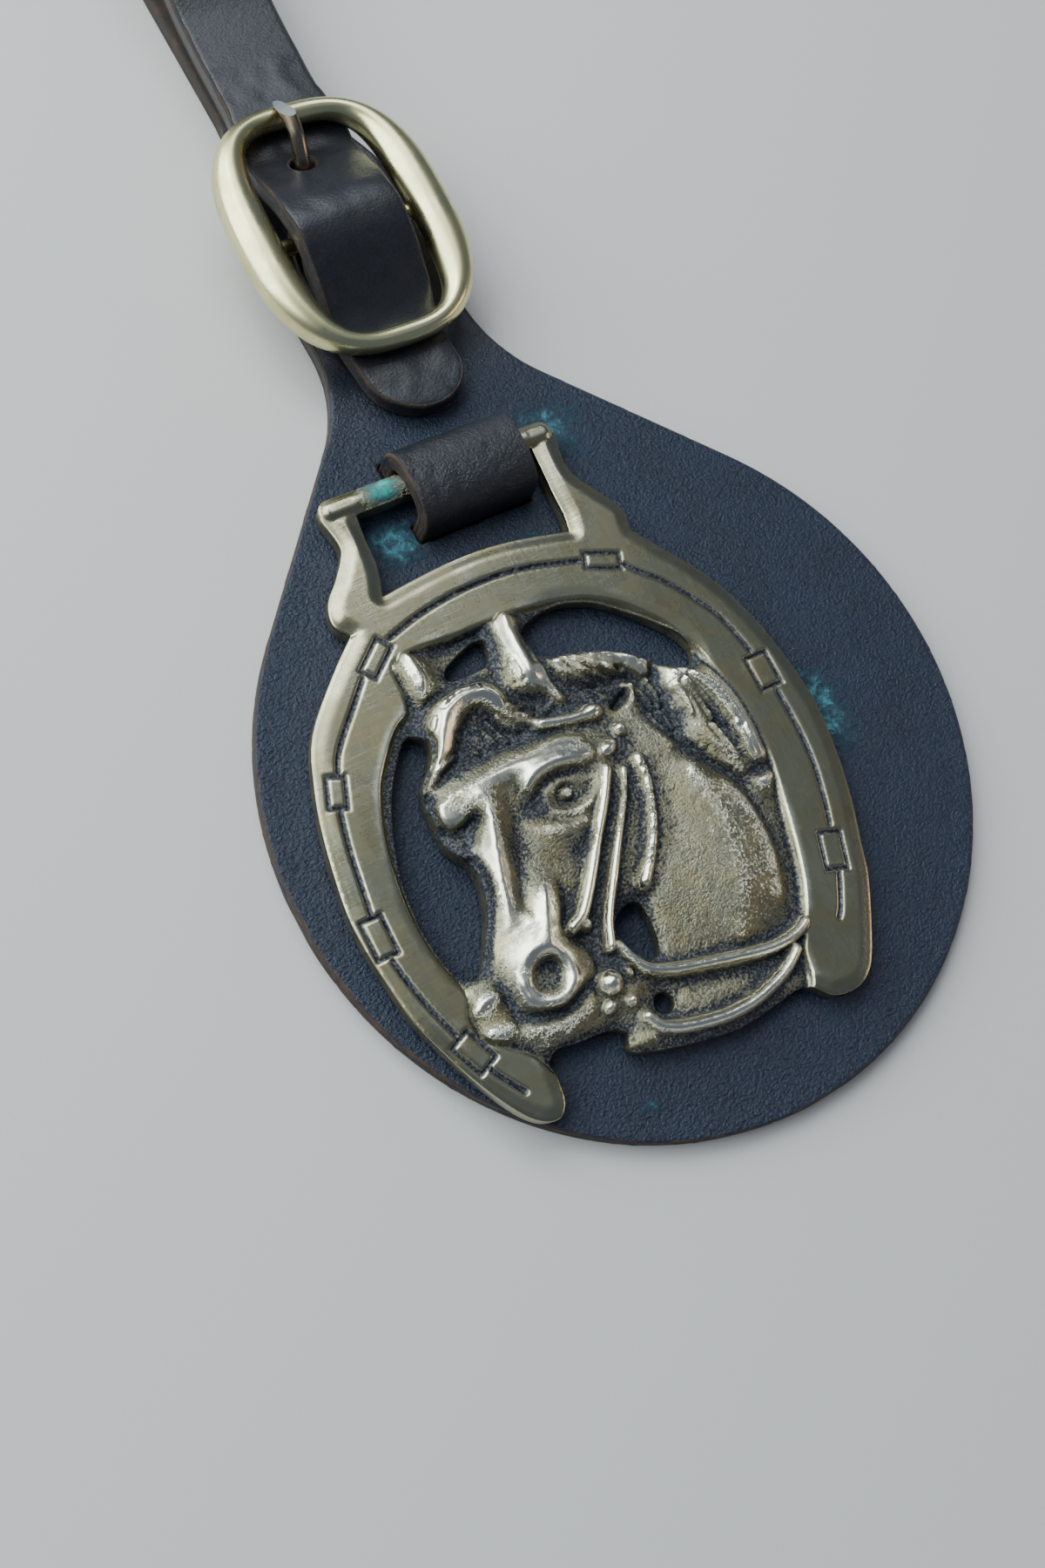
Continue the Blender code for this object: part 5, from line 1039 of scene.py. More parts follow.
# crests, hollows and edges of the carving, as (x, y, height over the back)
FACE_LINES = {
    "nose": [(-24.9, 2.8, 6.5), (-26, -0.2, 6.8), (-27.1, -3.2, 7), (-28.4, -7.3, 6.7), (-29.4, -11.2, 6.1),
             (-30.6, -14.1, 5.4), (-31.4, -17, 5.3), (-32.4, -19.5, 5)],
    "nose_side": [(-28.9, -3.2, 5), (-30.3, -7.3, 4.7), (-31.6, -11.2, 4.4), (-32.9, -14.1, 4.1),
                  (-33.8, -16.6, 4)],
    "beside_nose": [(-22.1, 2.4, 5.2), (-22.2, -0.1, 4.6), (-22.9, -3, 4.3), (-24.4, -6, 4.3),
                    (-25.7, -8.5, 4.4), (-26.8, -11, 5), (-28.2, -14, 6.5)],
    "cheek_ridge": [(-22.9, -9.6, 4.9), (-24.1, -11.2, 6.4), (-25.4, -13.6, 7), (-26.8, -16.6, 7.2),
                    (-27.7, -17.7, 7)],
    "wall_top": [(-22.5, -10.7, 5.2), (-23.4, -13.3, 5.6), (-25, -16.4, 5.6), (-25, -18.1, 5.2),
                 (-24.4, -20.6, 4.8), (-24.5, -23, 4.4)],
    "wall_foot": [(-20.9, -11, 3.9), (-21.5, -13.5, 3.3), (-22.7, -16.3, 3), (-22.2, -18, 2.6),
                  (-21.3, -20, 2.4), (-21.6, -23, 2.5), (-23.2, -25, 2.6)],
    "nostril_rim": [(-32.3, -20, 5.3), (-32.2, -22.4, 5), (-30.5, -24, 5.1), (-28.6, -24.4, 5.3),
                    (-26.4, -23.6, 5.4), (-25.3, -21.7, 5.6), (-25.9, -19.3, 6), (-27.1, -17.9, 6.8),
                    (-29.2, -17.2, 6.6), (-31.1, -18, 5.6)],
    "nostril_edge": [(-31.5, -20.8, 5.2), (-30.9, -22.5, 5), (-29, -23.5, 5.2), (-27, -23, 5.3),
                     (-25.9, -21, 5.4), (-26.5, -19, 5.5), (-28.6, -18.3, 5.7), (-30.6, -18.9, 5.5),
                     (-31.5, -20.8, 5.2)],
    "nostril_floor": [(-30.7, -20.8, 4.3), (-29.8, -22.3, 4), (-27.9, -22.5, 3.9), (-26.7, -20.9, 3.9),
                      (-27.3, -19.6, 3.8), (-29, -19.2, 4), (-30.7, -20.8, 4.3)],
    "mouth": [(-34.2, -22.2, 3), (-33, -24, 2.8), (-30.9, -25, 2.6), (-27.9, -25.5, 2.6),
              (-25.5, -24.9, 2.8), (-24.1, -24.2, 3)],
    "lip_edge": [(-34, -25.6, 4), (-31.5, -26.4, 4.2), (-28.5, -26.7, 4.2), (-25.9, -26.3, 4.1),
                 (-24.3, -25.6, 3.8)],
    "chin": [(-33, -28.1, 3.2), (-28.3, -28.5, 3.2), (-23.9, -27.9, 3)],
    "chin_edge": [(-32, -29.2, 2.4), (-28.3, -29.7, 2.3), (-24.5, -29.7, 2.3)],
    "link_top": [(-39, -20.6, 4.2), (-37.2, -19.7, 4.5), (-35.4, -20, 4.4)],
    "link_bottom": [(-39, -23.6, 4), (-37.2, -24.7, 4), (-35.4, -23.9, 4.1)],
    "link_foot": [(-39.6, -18.6, 3), (-37.5, -17.4, 3.1), (-35.2, -17.6, 3.1), (-34.5, -19.6, 2.9),
                  (-34.3, -22, 2.6), (-34.5, -24.8, 2.8)],
    "brow": [(-31.1, 4.4, 5.4), (-28.2, 4.9, 5.7), (-25.4, 5, 6.1), (-21.6, 5.1, 6), (-18.1, 4.9, 6),
             (-14.6, 5.1, 5.9), (-11.6, 5.2, 5.7), (-9.2, 4.3, 5.5)],
    "brow_top_foot": [(-30.5, 6.4, 4.2), (-27.1, 7.3, 4.4), (-22.8, 7.4, 4.4), (-18.1, 6.9, 4.3),
                      (-13, 6.8, 4.3), (-9, 6, 4.2), (-7.1, 4.8, 4)],
    "far_brow": [(-31.2, 3.8, 5.6), (-31.1, 2.6, 5.4), (-30.2, 1.8, 5.3), (-28.8, 1.9, 5.4),
                 (-27.5, 2.8, 5.8), (-26.2, 3.4, 6.3), (-25.3, 3.5, 6.6)],
    "far_socket": [(-30, 0.8, 3.2), (-27.8, 0.7, 3.2), (-26.6, 1, 3.8)],
    "far_socket_low": [(-28.6, 0, 3.2), (-28.9, -1.5, 3.4)],
    "far_cheek": [(-31.6, 0, 3.4), (-31.1, -1.9, 3.6), (-30.3, -3.2, 3.6)],
    "ledge": [(-19.6, 1.5, 6), (-17.8, 2.6, 6.7), (-15.5, 3.1, 6.9), (-12.8, 2.8, 6.8), (-10.4, 2.3, 6.5),
              (-8.8, 2.3, 6)],
    "fold_over_eye": [(-18.6, -0.2, 4), (-17.3, 0.9, 4.2), (-15.3, 1.6, 4.3), (-12.7, 1.5, 4.3),
                      (-10.3, 0.8, 4.3), (-8.5, 0.9, 4.4)],
    "upper_lid": [(-17.2, -0.9, 4.5), (-16.3, 0.1, 4.7), (-14.3, 0.7, 4.8), (-12.3, 0.3, 4.7),
                  (-10.8, -0.7, 4.5)],
    "under_eyeball": [(-16.3, -1.6, 4), (-15.2, -2.3, 3.8), (-13.9, -2.6, 3.8), (-11.9, -2.2, 3.9),
                      (-10.1, -1.2, 4.1)],
    "lower_lid": [(-17.1, -2.5, 4.9), (-15.5, -3.6, 5.2), (-13.5, -3.9, 5.3), (-11.4, -3.3, 5.2),
                  (-9.9, -2.3, 5), (-8.3, -0.6, 4.9), (-7.5, 0.3, 4.7)],
    "fold_under_eye": [(-19.1, -1.7, 4.2), (-17.1, -3.3, 4.3), (-14.6, -4.5, 4.4), (-12.1, -4.3, 4.5),
                       (-10.4, -3.4, 4.5)],
    "eye_corner": [(-20.2, -0.5, 4.2), (-18.7, -0.8, 4.1), (-18, -1.1, 4.2)],
    "brow_inner": [(-20.1, 2.9, 5.4), (-19.7, 1.3, 4.7)],
    "cheek_bone": [(-21.1, -2.9, 5), (-19.7, -4.2, 5.3), (-17.5, -5, 5.4), (-15.2, -5.3, 5.3),
                   (-13.3, -5.3, 5.1)],
    "cheek": [(-21.8, -7.1, 4.6), (-19.6, -8.4, 4.3), (-17, -8.6, 4.1), (-15.4, -8.8, 3.9)],
    "cheek_low": [(-20.1, -11, 4.2), (-18.4, -12.4, 3.9), (-17.4, -11.4, 3.9)],
    "jaw": [(-22.8, -19.2, 3.4), (-22.2, -21.6, 3.6), (-22.8, -23.6, 3.6)],
}
EAR_AND_FORELOCK_LINES = {
    "ear_foot": [(-11.9, 25.3, 1.9), (-12.2, 22.5, 2), (-12.9, 19.8, 2.1), (-13.9, 17.4, 2.4),
                 (-14.3, 15.4, 2.8)],
    "ear_left": [(-10.9, 26, 3.3), (-11.2, 23.2, 3.4), (-11.7, 20, 3.6), (-12.6, 17.5, 3.8),
                 (-13.2, 15.8, 3.8)],
    "ear_crest": [(-8.4, 26.4, 4.9), (-9.6, 24, 5.3), (-10.1, 21, 5.6), (-10.3, 18, 5.9),
                  (-10.2, 15.8, 5.9), (-9.9, 14.2, 5.2)],
    "ear_right": [(-9.3, 22, 4.7), (-9.3, 18.8, 4.9), (-9.1, 16.2, 4.9)],
    "ear_bottom": [(-13.8, 14.6, 2.8), (-12.8, 13.4, 2.6), (-11.2, 12.4, 2.5), (-9.3, 11.8, 2.6)],
    "ear_hollow": [(-8.8, 22.6, 3.8), (-8.8, 19.4, 3.9), (-8.7, 16.8, 4)],
    "ear_rim": [(-8.3, 24.2, 3.9), (-8.2, 21, 4.2), (-8.1, 18, 4.5), (-8.1, 15.4, 4.7), (-8.2, 13.2, 4.5),
                (-7.8, 11.6, 4.2), (-7.2, 10.3, 3.5)],
    "ear_rim_foot": [(-7.5, 18.2, 2.8), (-7.3, 16, 2.6), (-6.9, 13.4, 2.4), (-6.2, 11.5, 2.3)],
    "ear_low": [(-12.4, 14.9, 4.2), (-11.2, 13.8, 4.1), (-9.6, 13.1, 4.1)],
    "ear_back": [(-6.7, 17.2, 3.7), (-6.4, 15.8, 3.9), (-6.2, 14.2, 3.6)],
    "far_ear_left": [(-26.4, 24.6, 3.2), (-26.3, 22, 3.1), (-26.1, 19.6, 3), (-25.6, 18.2, 2.8)],
    "far_ear_foot": [(-27.1, 24, 1.9), (-26.9, 21, 1.9), (-26.8, 18, 1.9), (-26.6, 16, 2)],
    "far_ear": [(-24.4, 25.3, 4.8), (-24.3, 23, 5), (-24.1, 20.7, 5), (-24.6, 19.3, 4.3),
                (-25.2, 18.3, 3.4)],
    "far_ear_right": [(-21.4, 24.8, 2.3), (-21.1, 22, 2.3), (-21.6, 20.4, 2.6)],
    "far_ear_knob": [(-23.9, 18.9, 3.5), (-22.7, 18.7, 3.4)],
    "between_ears": [(-20, 24.2, 1.3), (-16.1, 24.3, 1.2), (-12.8, 24.1, 1.3)],
    "poll": [(-21.9, 19.6, 2.9), (-20.4, 18.9, 3), (-17, 18.7, 3), (-14.3, 19.2, 2.9)],
    "forelock_foot": [(-28.2, 12.1, 2.4), (-26.7, 15.9, 2.3), (-24.4, 17.6, 2.4), (-20.8, 18.2, 2.5),
                      (-17.2, 18.1, 2.5), (-14.9, 17.3, 2.5), (-14.3, 15.7, 2.9)],
    "forelock_outer": [(-28.3, 10.2, 4.2), (-27.2, 12, 4.6), (-25.7, 14.9, 5.1), (-23.6, 16.6, 5.3),
                       (-20.8, 17.2, 5.3), (-17.8, 17.1, 5.1), (-15.9, 16, 4.6)],
    "forelock": [(-31.2, 7.1, 4.2), (-29.2, 8.6, 4.9), (-27.2, 10.8, 5.6), (-25.4, 13.2, 6),
                 (-23.7, 15.1, 6.2), (-21.2, 16.2, 6.3), (-18.6, 16.2, 6.3), (-16.9, 15, 6.2),
                 (-16.2, 13.5, 5.8), (-16.2, 12.6, 5.2)],
    "forelock_inner": [(-26, 10.2, 4.9), (-24.2, 12.6, 5.3), (-22.3, 14.5, 5.5), (-20.4, 15.3, 5.5),
                       (-18.7, 15.3, 5.5), (-17.8, 14.2, 5.2)],
    "forelock_inside": [(-29.4, 6.9, 3.5), (-26.5, 8.2, 3.3), (-24.4, 10.1, 3.3), (-22.4, 12.3, 3.3),
                        (-20.6, 13.7, 3.4), (-18.9, 13.9, 3.6), (-18.3, 12.9, 3.3), (-18, 12, 3.1)],
    "temple": [(-22.7, 8.9, 3.4), (-21.7, 10.1, 3.5), (-20.4, 10.8, 3.4), (-20, 9.1, 3.4)],
    "under_temple": [(-24, 8.4, 3.1), (-20, 7.9, 3.2), (-17, 8, 3), (-13.8, 8, 3), (-11.3, 7.4, 3.2)],
    "under_forelock": [(-17.8, 10.9, 2.7), (-16, 9.6, 2.7), (-13.8, 9.1, 2.8)],
    "twist": [(-15.6, 12, 4.5), (-14.4, 10.6, 4.4), (-13, 9.3, 4.4), (-11.6, 8.5, 4.6)],
    "curls": [(-13.9, 12.4, 3.5), (-12.7, 11.4, 3.4)],
    "under_ear": [(-13.4, 13.4, 2.9), (-12.1, 11.7, 2.7), (-10.1, 10.6, 2.6), (-8, 10.2, 2.6),
                  (-4.9, 9.6, 2.5)],
}
NECK_LINES = {
    "between_straps_1": [(-5.5, -1.1, 3.8), (-8.3, -5.1, 3.8), (-11.7, -9.4, 3.6), (-14.6, -13.1, 3.3),
                         (-17.7, -17.2, 3)],
    "between_straps_2": [(-3.3, -2.4, 3.7), (-4.8, -6, 3.7), (-7.5, -10.5, 3.5), (-10.4, -14, 3.2),
                         (-13.2, -16.5, 2.7)],
    "neck_left": [(0.1, -2.1, 3.8), (-0.6, -6, 3.7), (-2.8, -11.5, 3.6), (-5.7, -15.5, 3.5),
                  (-7.3, -18.5, 3.3), (-9.9, -19.5, 2.8), (-11.5, -22, 2.5), (-11.9, -25.4, 2.6)],
    "neck_middle": [(3.7, -5, 5), (4.1, -9, 5.2), (4, -14, 5.1), (3, -19, 4.7), (0.9, -24, 4.1),
                    (-1.6, -28, 3.3)],
    "neck_right": [(7.2, -9.6, 4.7), (8.7, -14, 4.4), (8.3, -20, 4.1), (6.3, -26, 3.4)],
    "neck_foot": [(10.3, -12, 2.4), (10.5, -18, 2.2), (9.3, -24, 2), (6.8, -29, 1.9)],
    "neck_low_foot": [(5, -30.3, 2), (1.1, -30, 2.1), (-5.3, -28.6, 2.3), (-10.8, -26.8, 2.4)],
    "neck_top": [(0.6, 4.4, 3.4), (1.8, 1.8, 4), (3, -1.6, 4.5)],
    "bit_base": [(-22.5, -26.4, 3.4), (-20.9, -28.2, 3.2), (-17.8, -27, 3), (-17.1, -24, 2.8),
                 (-18.4, -22.2, 2.8)],
    "chest": [(-22.6, -33.2, 2.8), (-20.6, -33.8, 3), (-18.6, -33.6, 3.1)],
    "upper_rein_foot": [(-15.9, -27.6, 2.3), (-13, -29.2, 2.1), (-8.3, -30.9, 2), (-2.8, -32.7, 2),
                        (2.6, -33.5, 2.1)],
    "between_reins": [(-13.1, -31.5, 2.3), (-8, -33.1, 2.3), (-1.8, -34.2, 2.3)],
    "lower_rein_foot": [(-16.8, -33, 2.3), (-13.8, -33.9, 2.2), (-9.5, -34.8, 2.2), (-5, -35, 2.2),
                        (-1, -34.3, 2.2), (2, -33.6, 2.4)],
    "rein_slope": [(-18.3, -35.3, 2.3), (-12.5, -37.2, 2.2), (-6.3, -38, 2.1), (-0.2, -37.4, 2.1),
                   (3, -37, 2.3)],
    "hole_rim": [(-17.4, -21, 3.2), (-16.8, -23.5, 3.2), (-15.8, -25.6, 3.4)],
}
MANE_LINES = {
    "mane_foot": [(3, 8.1, 2.4), (3.7, 4.1, 2.3), (4.9, 0.1, 2.4), (6.2, -2.8, 2.6), (8.1, -6.5, 2.6),
                  (10.1, -9.5, 2.4), (10.9, -11, 2.2)],
    "edge_lock": [(8.6, 8.6, 4.6), (10.8, 6.8, 5.4), (12.6, 3.4, 5.9), (13.6, -1, 6), (14, -5, 5.8),
                  (13.9, -8.2, 5.2)],
    "edge_lock_inner": [(11.2, 3.6, 5.1), (12.1, 0.2, 5), (12.7, -3.5, 5), (12.9, -7.4, 4.6)],
    "edge_lock_foot": [(11, 1.6, 4.3), (11.5, -0.6, 3.9), (11.9, -3.6, 3.7), (12.1, -6.8, 3.5),
                       (12.2, -9.3, 2.9), (13.6, -9.9, 2.9), (15.2, -9.5, 3)],
    "edge_lock_lip": [(11.9, -10.7, 3.6), (13, -11.4, 4), (14.8, -10.9, 3.9)],
    "edge_lock_right": [(13.9, 6, 4.3), (15.1, 2.4, 4.7), (15.5, -2.6, 4.7), (15.2, -8, 4.2)],
    "fan_lock": [(8.2, 7.9, 5), (8.6, 6.2, 5.4), (8.9, 4.2, 5.3), (9.1, 2.2, 5), (9.2, 0.8, 4.7)],
    "fan_left": [(7.3, 6.8, 4.5), (7.4, 4.6, 4.5), (7.5, 2.5, 4.3)],
    "fan_foot": [(6.5, 7.2, 2.9), (6.6, 5.2, 2.9), (6.6, 2.9, 3.1)],
    "beside_fan": [(10, 5.2, 5), (10.2, 3.2, 4.8), (10.4, 1.6, 4.5)],
    "fat_lock": [(-0.2, 14.2, 4.4), (1.5, 13.3, 5.1), (3.5, 11.8, 5.4), (4.9, 10.3, 5.2), (5.4, 9.2, 4.4)],
    "fat_lock_edge": [(2.5, 13.3, 4.6), (4.4, 12, 4.8), (6, 10.3, 4.6)],
    "fat_foot": [(6.6, 10.1, 3.2), (6.7, 9.1, 2.8), (6.2, 8, 2.6)],
    "low_lock": [(7.3, 0.6, 4.3), (8.3, -1.8, 4.9), (9.4, -4.4, 4.9), (10.5, -6.9, 4.4), (11.3, -8.8, 3.6)],
    "low_lock_left": [(6.4, -0.9, 4), (7.4, -4, 4.1), (9.1, -6.9, 3.8), (10.2, -8.6, 3.4)],
    "low_lock_right": [(9.6, -0.6, 4.7), (10.7, -2.8, 4.6), (11.2, -5.6, 4.3)],
    "basin": [(5.7, 4.6, 2.4), (6.1, 2.8, 2.4), (6.6, 1.2, 2.6)],
    "basin_2": [(11.1, -1.2, 3), (10.9, -3.4, 3.3)],
    "crest_rim": [(-5.9, 16.6, 3.6), (-3.4, 15.9, 3.8), (-1.1, 15.2, 4), (1.2, 14.3, 4.1), (4, 12.6, 4.1),
                  (6.3, 10.9, 4), (8.6, 9, 4), (11, 7.7, 3.6)],
    "lock_a": [(-5.6, 15.9, 4.2), (-5, 14.4, 4.3), (-4.4, 13.3, 3.7)],
    "lock_b": [(-4.3, 15.1, 4.7), (-3.1, 13.8, 4.7), (-2, 12.4, 4)],
    "lock_c": [(-2.2, 14.6, 4.7), (-1, 13.3, 4.7), (-0.3, 12, 4)],
    "lock_d": [(-0.3, 13.9, 4.8), (0.8, 12.6, 4.7), (1.3, 11.4, 4)],
    "groove_ab": [(-4.9, 14.9, 3.4), (-4.3, 13.4, 3)],
    "groove_bc": [(-2.7, 13.9, 3.5), (-1.4, 12.4, 3)],
    "groove_cd": [(-0.6, 13.1, 3.5), (0.3, 11.6, 3)],
    "groove_d": [(1.9, 12, 3.5), (2.6, 10.8, 3)],
    "nape": [(-5.2, 12, 2.3), (-2.6, 11, 2.2), (0.5, 10.4, 2.2), (3.4, 9.8, 2.2), (4, 8.4, 2.2)],
    "slot_rim": [(-0.4, 6.3, 3), (0.8, 6.6, 3.3), (1.9, 7.2, 3.6), (2.6, 8.1, 3.9), (2.2, 9, 3.3)],
    "slot_edge": [(0.1, 7, 0.9), (1, 7.4, 0.8), (1.8, 8, 0.9)],
}
STRAPS = {
    "brow_band": (5.2, 1.2, [(-12.4, 8.7), (-10, 8), (-7.4, 7.5), (-5, 7.4), (-4.4, 7.4)]),
    "cheek_strap": (5.6, 1.3, [(-7.6, -0.6), (-10.2, -4.2), (-13.2, -7.6), (-15.8, -10.7), (-18.3, -13.6),
                               (-20.6, -15.9), (-22.6, -16.8)]),
    "nose_strap": (5, 1.15, [(-5.3, -1.6), (-7.1, -4.7), (-9.8, -8.1), (-12.3, -11.3), (-14.9, -14.6),
                             (-17.5, -18.1), (-19, -21.2)]),
    "throat_strap": (5, 1.4, [(-2.4, -1), (-2.9, -4.1), (-4.8, -8.7), (-7.3, -12.6), (-10.3, -15.9)]),
    "upper_rein": (4.5, 1.25, [(-17.9, -21.5), (-17.1, -23.9), (-15.7, -26), (-13.1, -27.4), (-10.5, -28.3),
                               (-5.3, -29.8), (-0.3, -31.1), (2.7, -31.5), (5.6, -31.3), (7.6, -30.6)]),
    "lower_rein": (4.2, 1.35, [(-18.9, -31.2), (-18, -32.9), (-16.4, -34), (-14, -34.9), (-10, -35.9),
                               (-7, -36.2), (-4, -36.1), (0, -35.3), (2.6, -34.3), (4.4, -33.2)]),
}
BEADS = {
    "eyeball": (5, (-14.1, -1), (2.6, 1.9), 0),
    "rosette": (5.5, (-5.9, 1.9), (2.5, 1.5), 14),
    "small_rosette": (5.2, (-2.6, 3.7), (1.3, 1.3), 0),
    "brow_band_stud": (5.6, (-5, 7.4), (2.1, 1.35), 0),
    "bit_ball": (5.6, (-21.4, -25.2), (1.9, 1.8), 0),
    "bit_blob_left": (4.3, (-22.9, -27.8), (1.5, 1.2), 20),
    "bit_blob_right": (4.4, (-19.8, -28.4), (1.1, 1.1), 0),
    "bit_blob_upper": (4.2, (-18.3, -25.2), (0.9, 1.4), 0),
    "cheek_strap_ring": (4.5, (-20.5, -17.2), (1.5, 1.4), 0),
}


def chain(*runs, steps):
    """One closed outline from smooth runs that meet at corners."""
    return np.vstack([smooth(run, steps=steps)[:-1] for run in runs])


BRASS_OUTLINE = chain(*SHOE_OUTSIDE, *CHIN_AND_REIN, *RIGHT_HEEL_TO_SHOULDER, *HANGER_OUTSIDE, steps=4)
SHOE_OPENING = smooth(SHOE_INSIDE, closed=True, steps=3)
BRASS_GAPS = [smooth(gap, closed=True, steps=4)
              for gap in (GAP_BY_FACE, GAP_BETWEEN_EARS, GAP_BY_CREST, GAP_BY_JAW)]
BRASS_GAPS += [chain(*HANGER_WINDOW, steps=3), ellipse(REIN_HOLE[0], (REIN_HOLE[1],) * 2, count=25)[:-1]]


def bar_distance(x, y):
    """Distance from the middle line of the hanger's bar."""
    return path_distance(x, y, [(HANGER_X[0] + BAR_END, BAR_Y), (HANGER_X[1] - BAR_END, BAR_Y)])


def brass_depth(x, y):
    """How deep each place is inside the casting, its openings left out."""
    depth = np.maximum(depth_inside(x, y, BRASS_OUTLINE), BAR_RADIUS - bar_distance(x, y))
    for gap in BRASS_GAPS:
        depth = np.minimum(depth, -near_depth(x, y, gap, GAP_REACH))
    return depth


def soft_max(a, b, blend):
    """The higher of two, with a soft corner where they meet."""
    return np.maximum(a, b) + np.maximum(blend - np.abs(a - b), 0) ** 2 / (4 * blend)


def ease(t):
    """0 to 1, with a soft start and end."""
    t = np.clip(t, 0, 1)
    return t * t * (3 - 2 * t)


def neighbours(field):
    """Mean of the four values beside each place of a grid."""
    p = np.pad(field, 1, mode="edge")
    return (p[:-2, 1:-1] + p[2:, 1:-1] + p[1:-1, :-2] + p[1:-1, 2:]) / 4


SHEET_START = 3.0
SHEET_STEPS = (8, 4, 2, 1)
SHEET_ROUNDS = 150
SOFT_ROUNDS = 5
WEB_OVERLAP = 0.9


def carved_sheet():
    """A sheet stretched over the crests and hollows of the head, on an even grid.

    It is worked out on coarse cells first, and each finer stage starts from the one before.
    """
    x, y = np.meshgrid(np.arange(SHEET_LOW[0], SHEET_HIGH[0], SHEET_CELL),
                       np.arange(SHEET_LOW[1], SHEET_HIGH[1], SHEET_CELL))
    total, hits = np.zeros(x.shape), np.zeros(x.shape)
    for table in (FACE_LINES, EAR_AND_FORELOCK_LINES, NECK_LINES, MANE_LINES):
        for points in table.values():
            line = smooth(points, steps=8)
            stations = along(line[:, :2])
            walk = np.arange(0, stations[-1], SHEET_CELL / 2)
            px, py, pz = (np.interp(walk, stations, column) for column in line.T)
            column = np.clip(np.round((px - SHEET_LOW[0]) / SHEET_CELL).astype(int), 0, x.shape[1] - 1)
            row = np.clip(np.round((py - SHEET_LOW[1]) / SHEET_CELL).astype(int), 0, x.shape[0] - 1)
            np.add.at(total, (row, column), pz)
            np.add.at(hits, (row, column), 1)
    edge = (brass_depth(x, y) < 0) | (depth_inside(x, y, SHOE_OPENING) < -WEB_OVERLAP)
    held = (hits > 0) | edge
    height = np.where(hits > 0, total / np.maximum(hits, 1), GROUND)
    sheet = None
    for step in SHEET_STEPS:
        rows, columns = -(-x.shape[0] // step), -(-x.shape[1] // step)
        pair = []
        for field in (height * held, held):
            padded = np.zeros((rows * step, columns * step))
            padded[:x.shape[0], :x.shape[1]] = field
            pair.append(padded.reshape(rows, step, columns, step).sum((1, 3)))
        value, count = pair
        value = value / np.maximum(count, 1)
        if sheet is None:
            sheet = np.full(value.shape, SHEET_START)
        else:
            sheet = np.repeat(np.repeat(sheet, 2, 0), 2, 1)[:rows, :columns]
        for _ in range(SHEET_ROUNDS):
            sheet = np.where(count > 0, value, neighbours(sheet))
    for _ in range(SOFT_ROUNDS):
        sheet = (sheet + neighbours(sheet)) / 2
    return sheet


CARVING = carved_sheet()


def read_grid(grid, low, cell, x, y):
    """Values of an even grid at any places. Places beyond its edges take the values there."""
    last_row, last_column = (count - 1.001 for count in grid.shape)
    column = np.clip((x - low[0]) / cell, 0, last_column)
    row = np.clip((y - low[1]) / cell, 0, last_row)
    i, j = column.astype(int), row.astype(int)
    u, v = column - i, row - j
    below = grid[j, i] * (1 - u) + grid[j, i + 1] * u
    above = grid[j + 1, i] * (1 - u) + grid[j + 1, i + 1] * u
    return below * (1 - v) + above * v


LINE_REACH = 1.0
# cuts and ridges as (height or depth, half width)
STRAND_RIDGE, STRAND_FURROW, STRAND_FURROW_AWAY = (0.45, 0.42), (0.25, 0.35), 0.6
POLL_SLOT_CUT = (1.8, 0.6)
IRIS_RING, PUPIL_CUT = (0.75, 0.42), 0.3
BEAD_ROUNDING, STRAP_ROUNDING = 2.2, 2.6
BEAD_BLEND, STRAP_BLEND = 0.2, 0.15
# marks cut across the throat strap: distances along it, depth, length and width
THROAT_MARKS = (1.3, 2.6, 5.2, 6.4, 7.6, 10.4, 13.0, 14.4)
MARK_DEPTH, MARK_LENGTH, MARK_WIDTH = 0.45, 0.9, 0.22
PUPIL, PUPIL_HALF_SIZE = (-14.1, -1.0), (1.2, 1.0)
HEAD_THINNEST = 0.8
POLL_SLOT = [(-0.9, 6.9), (0.5, 7.3), (1.9, 8.2)]
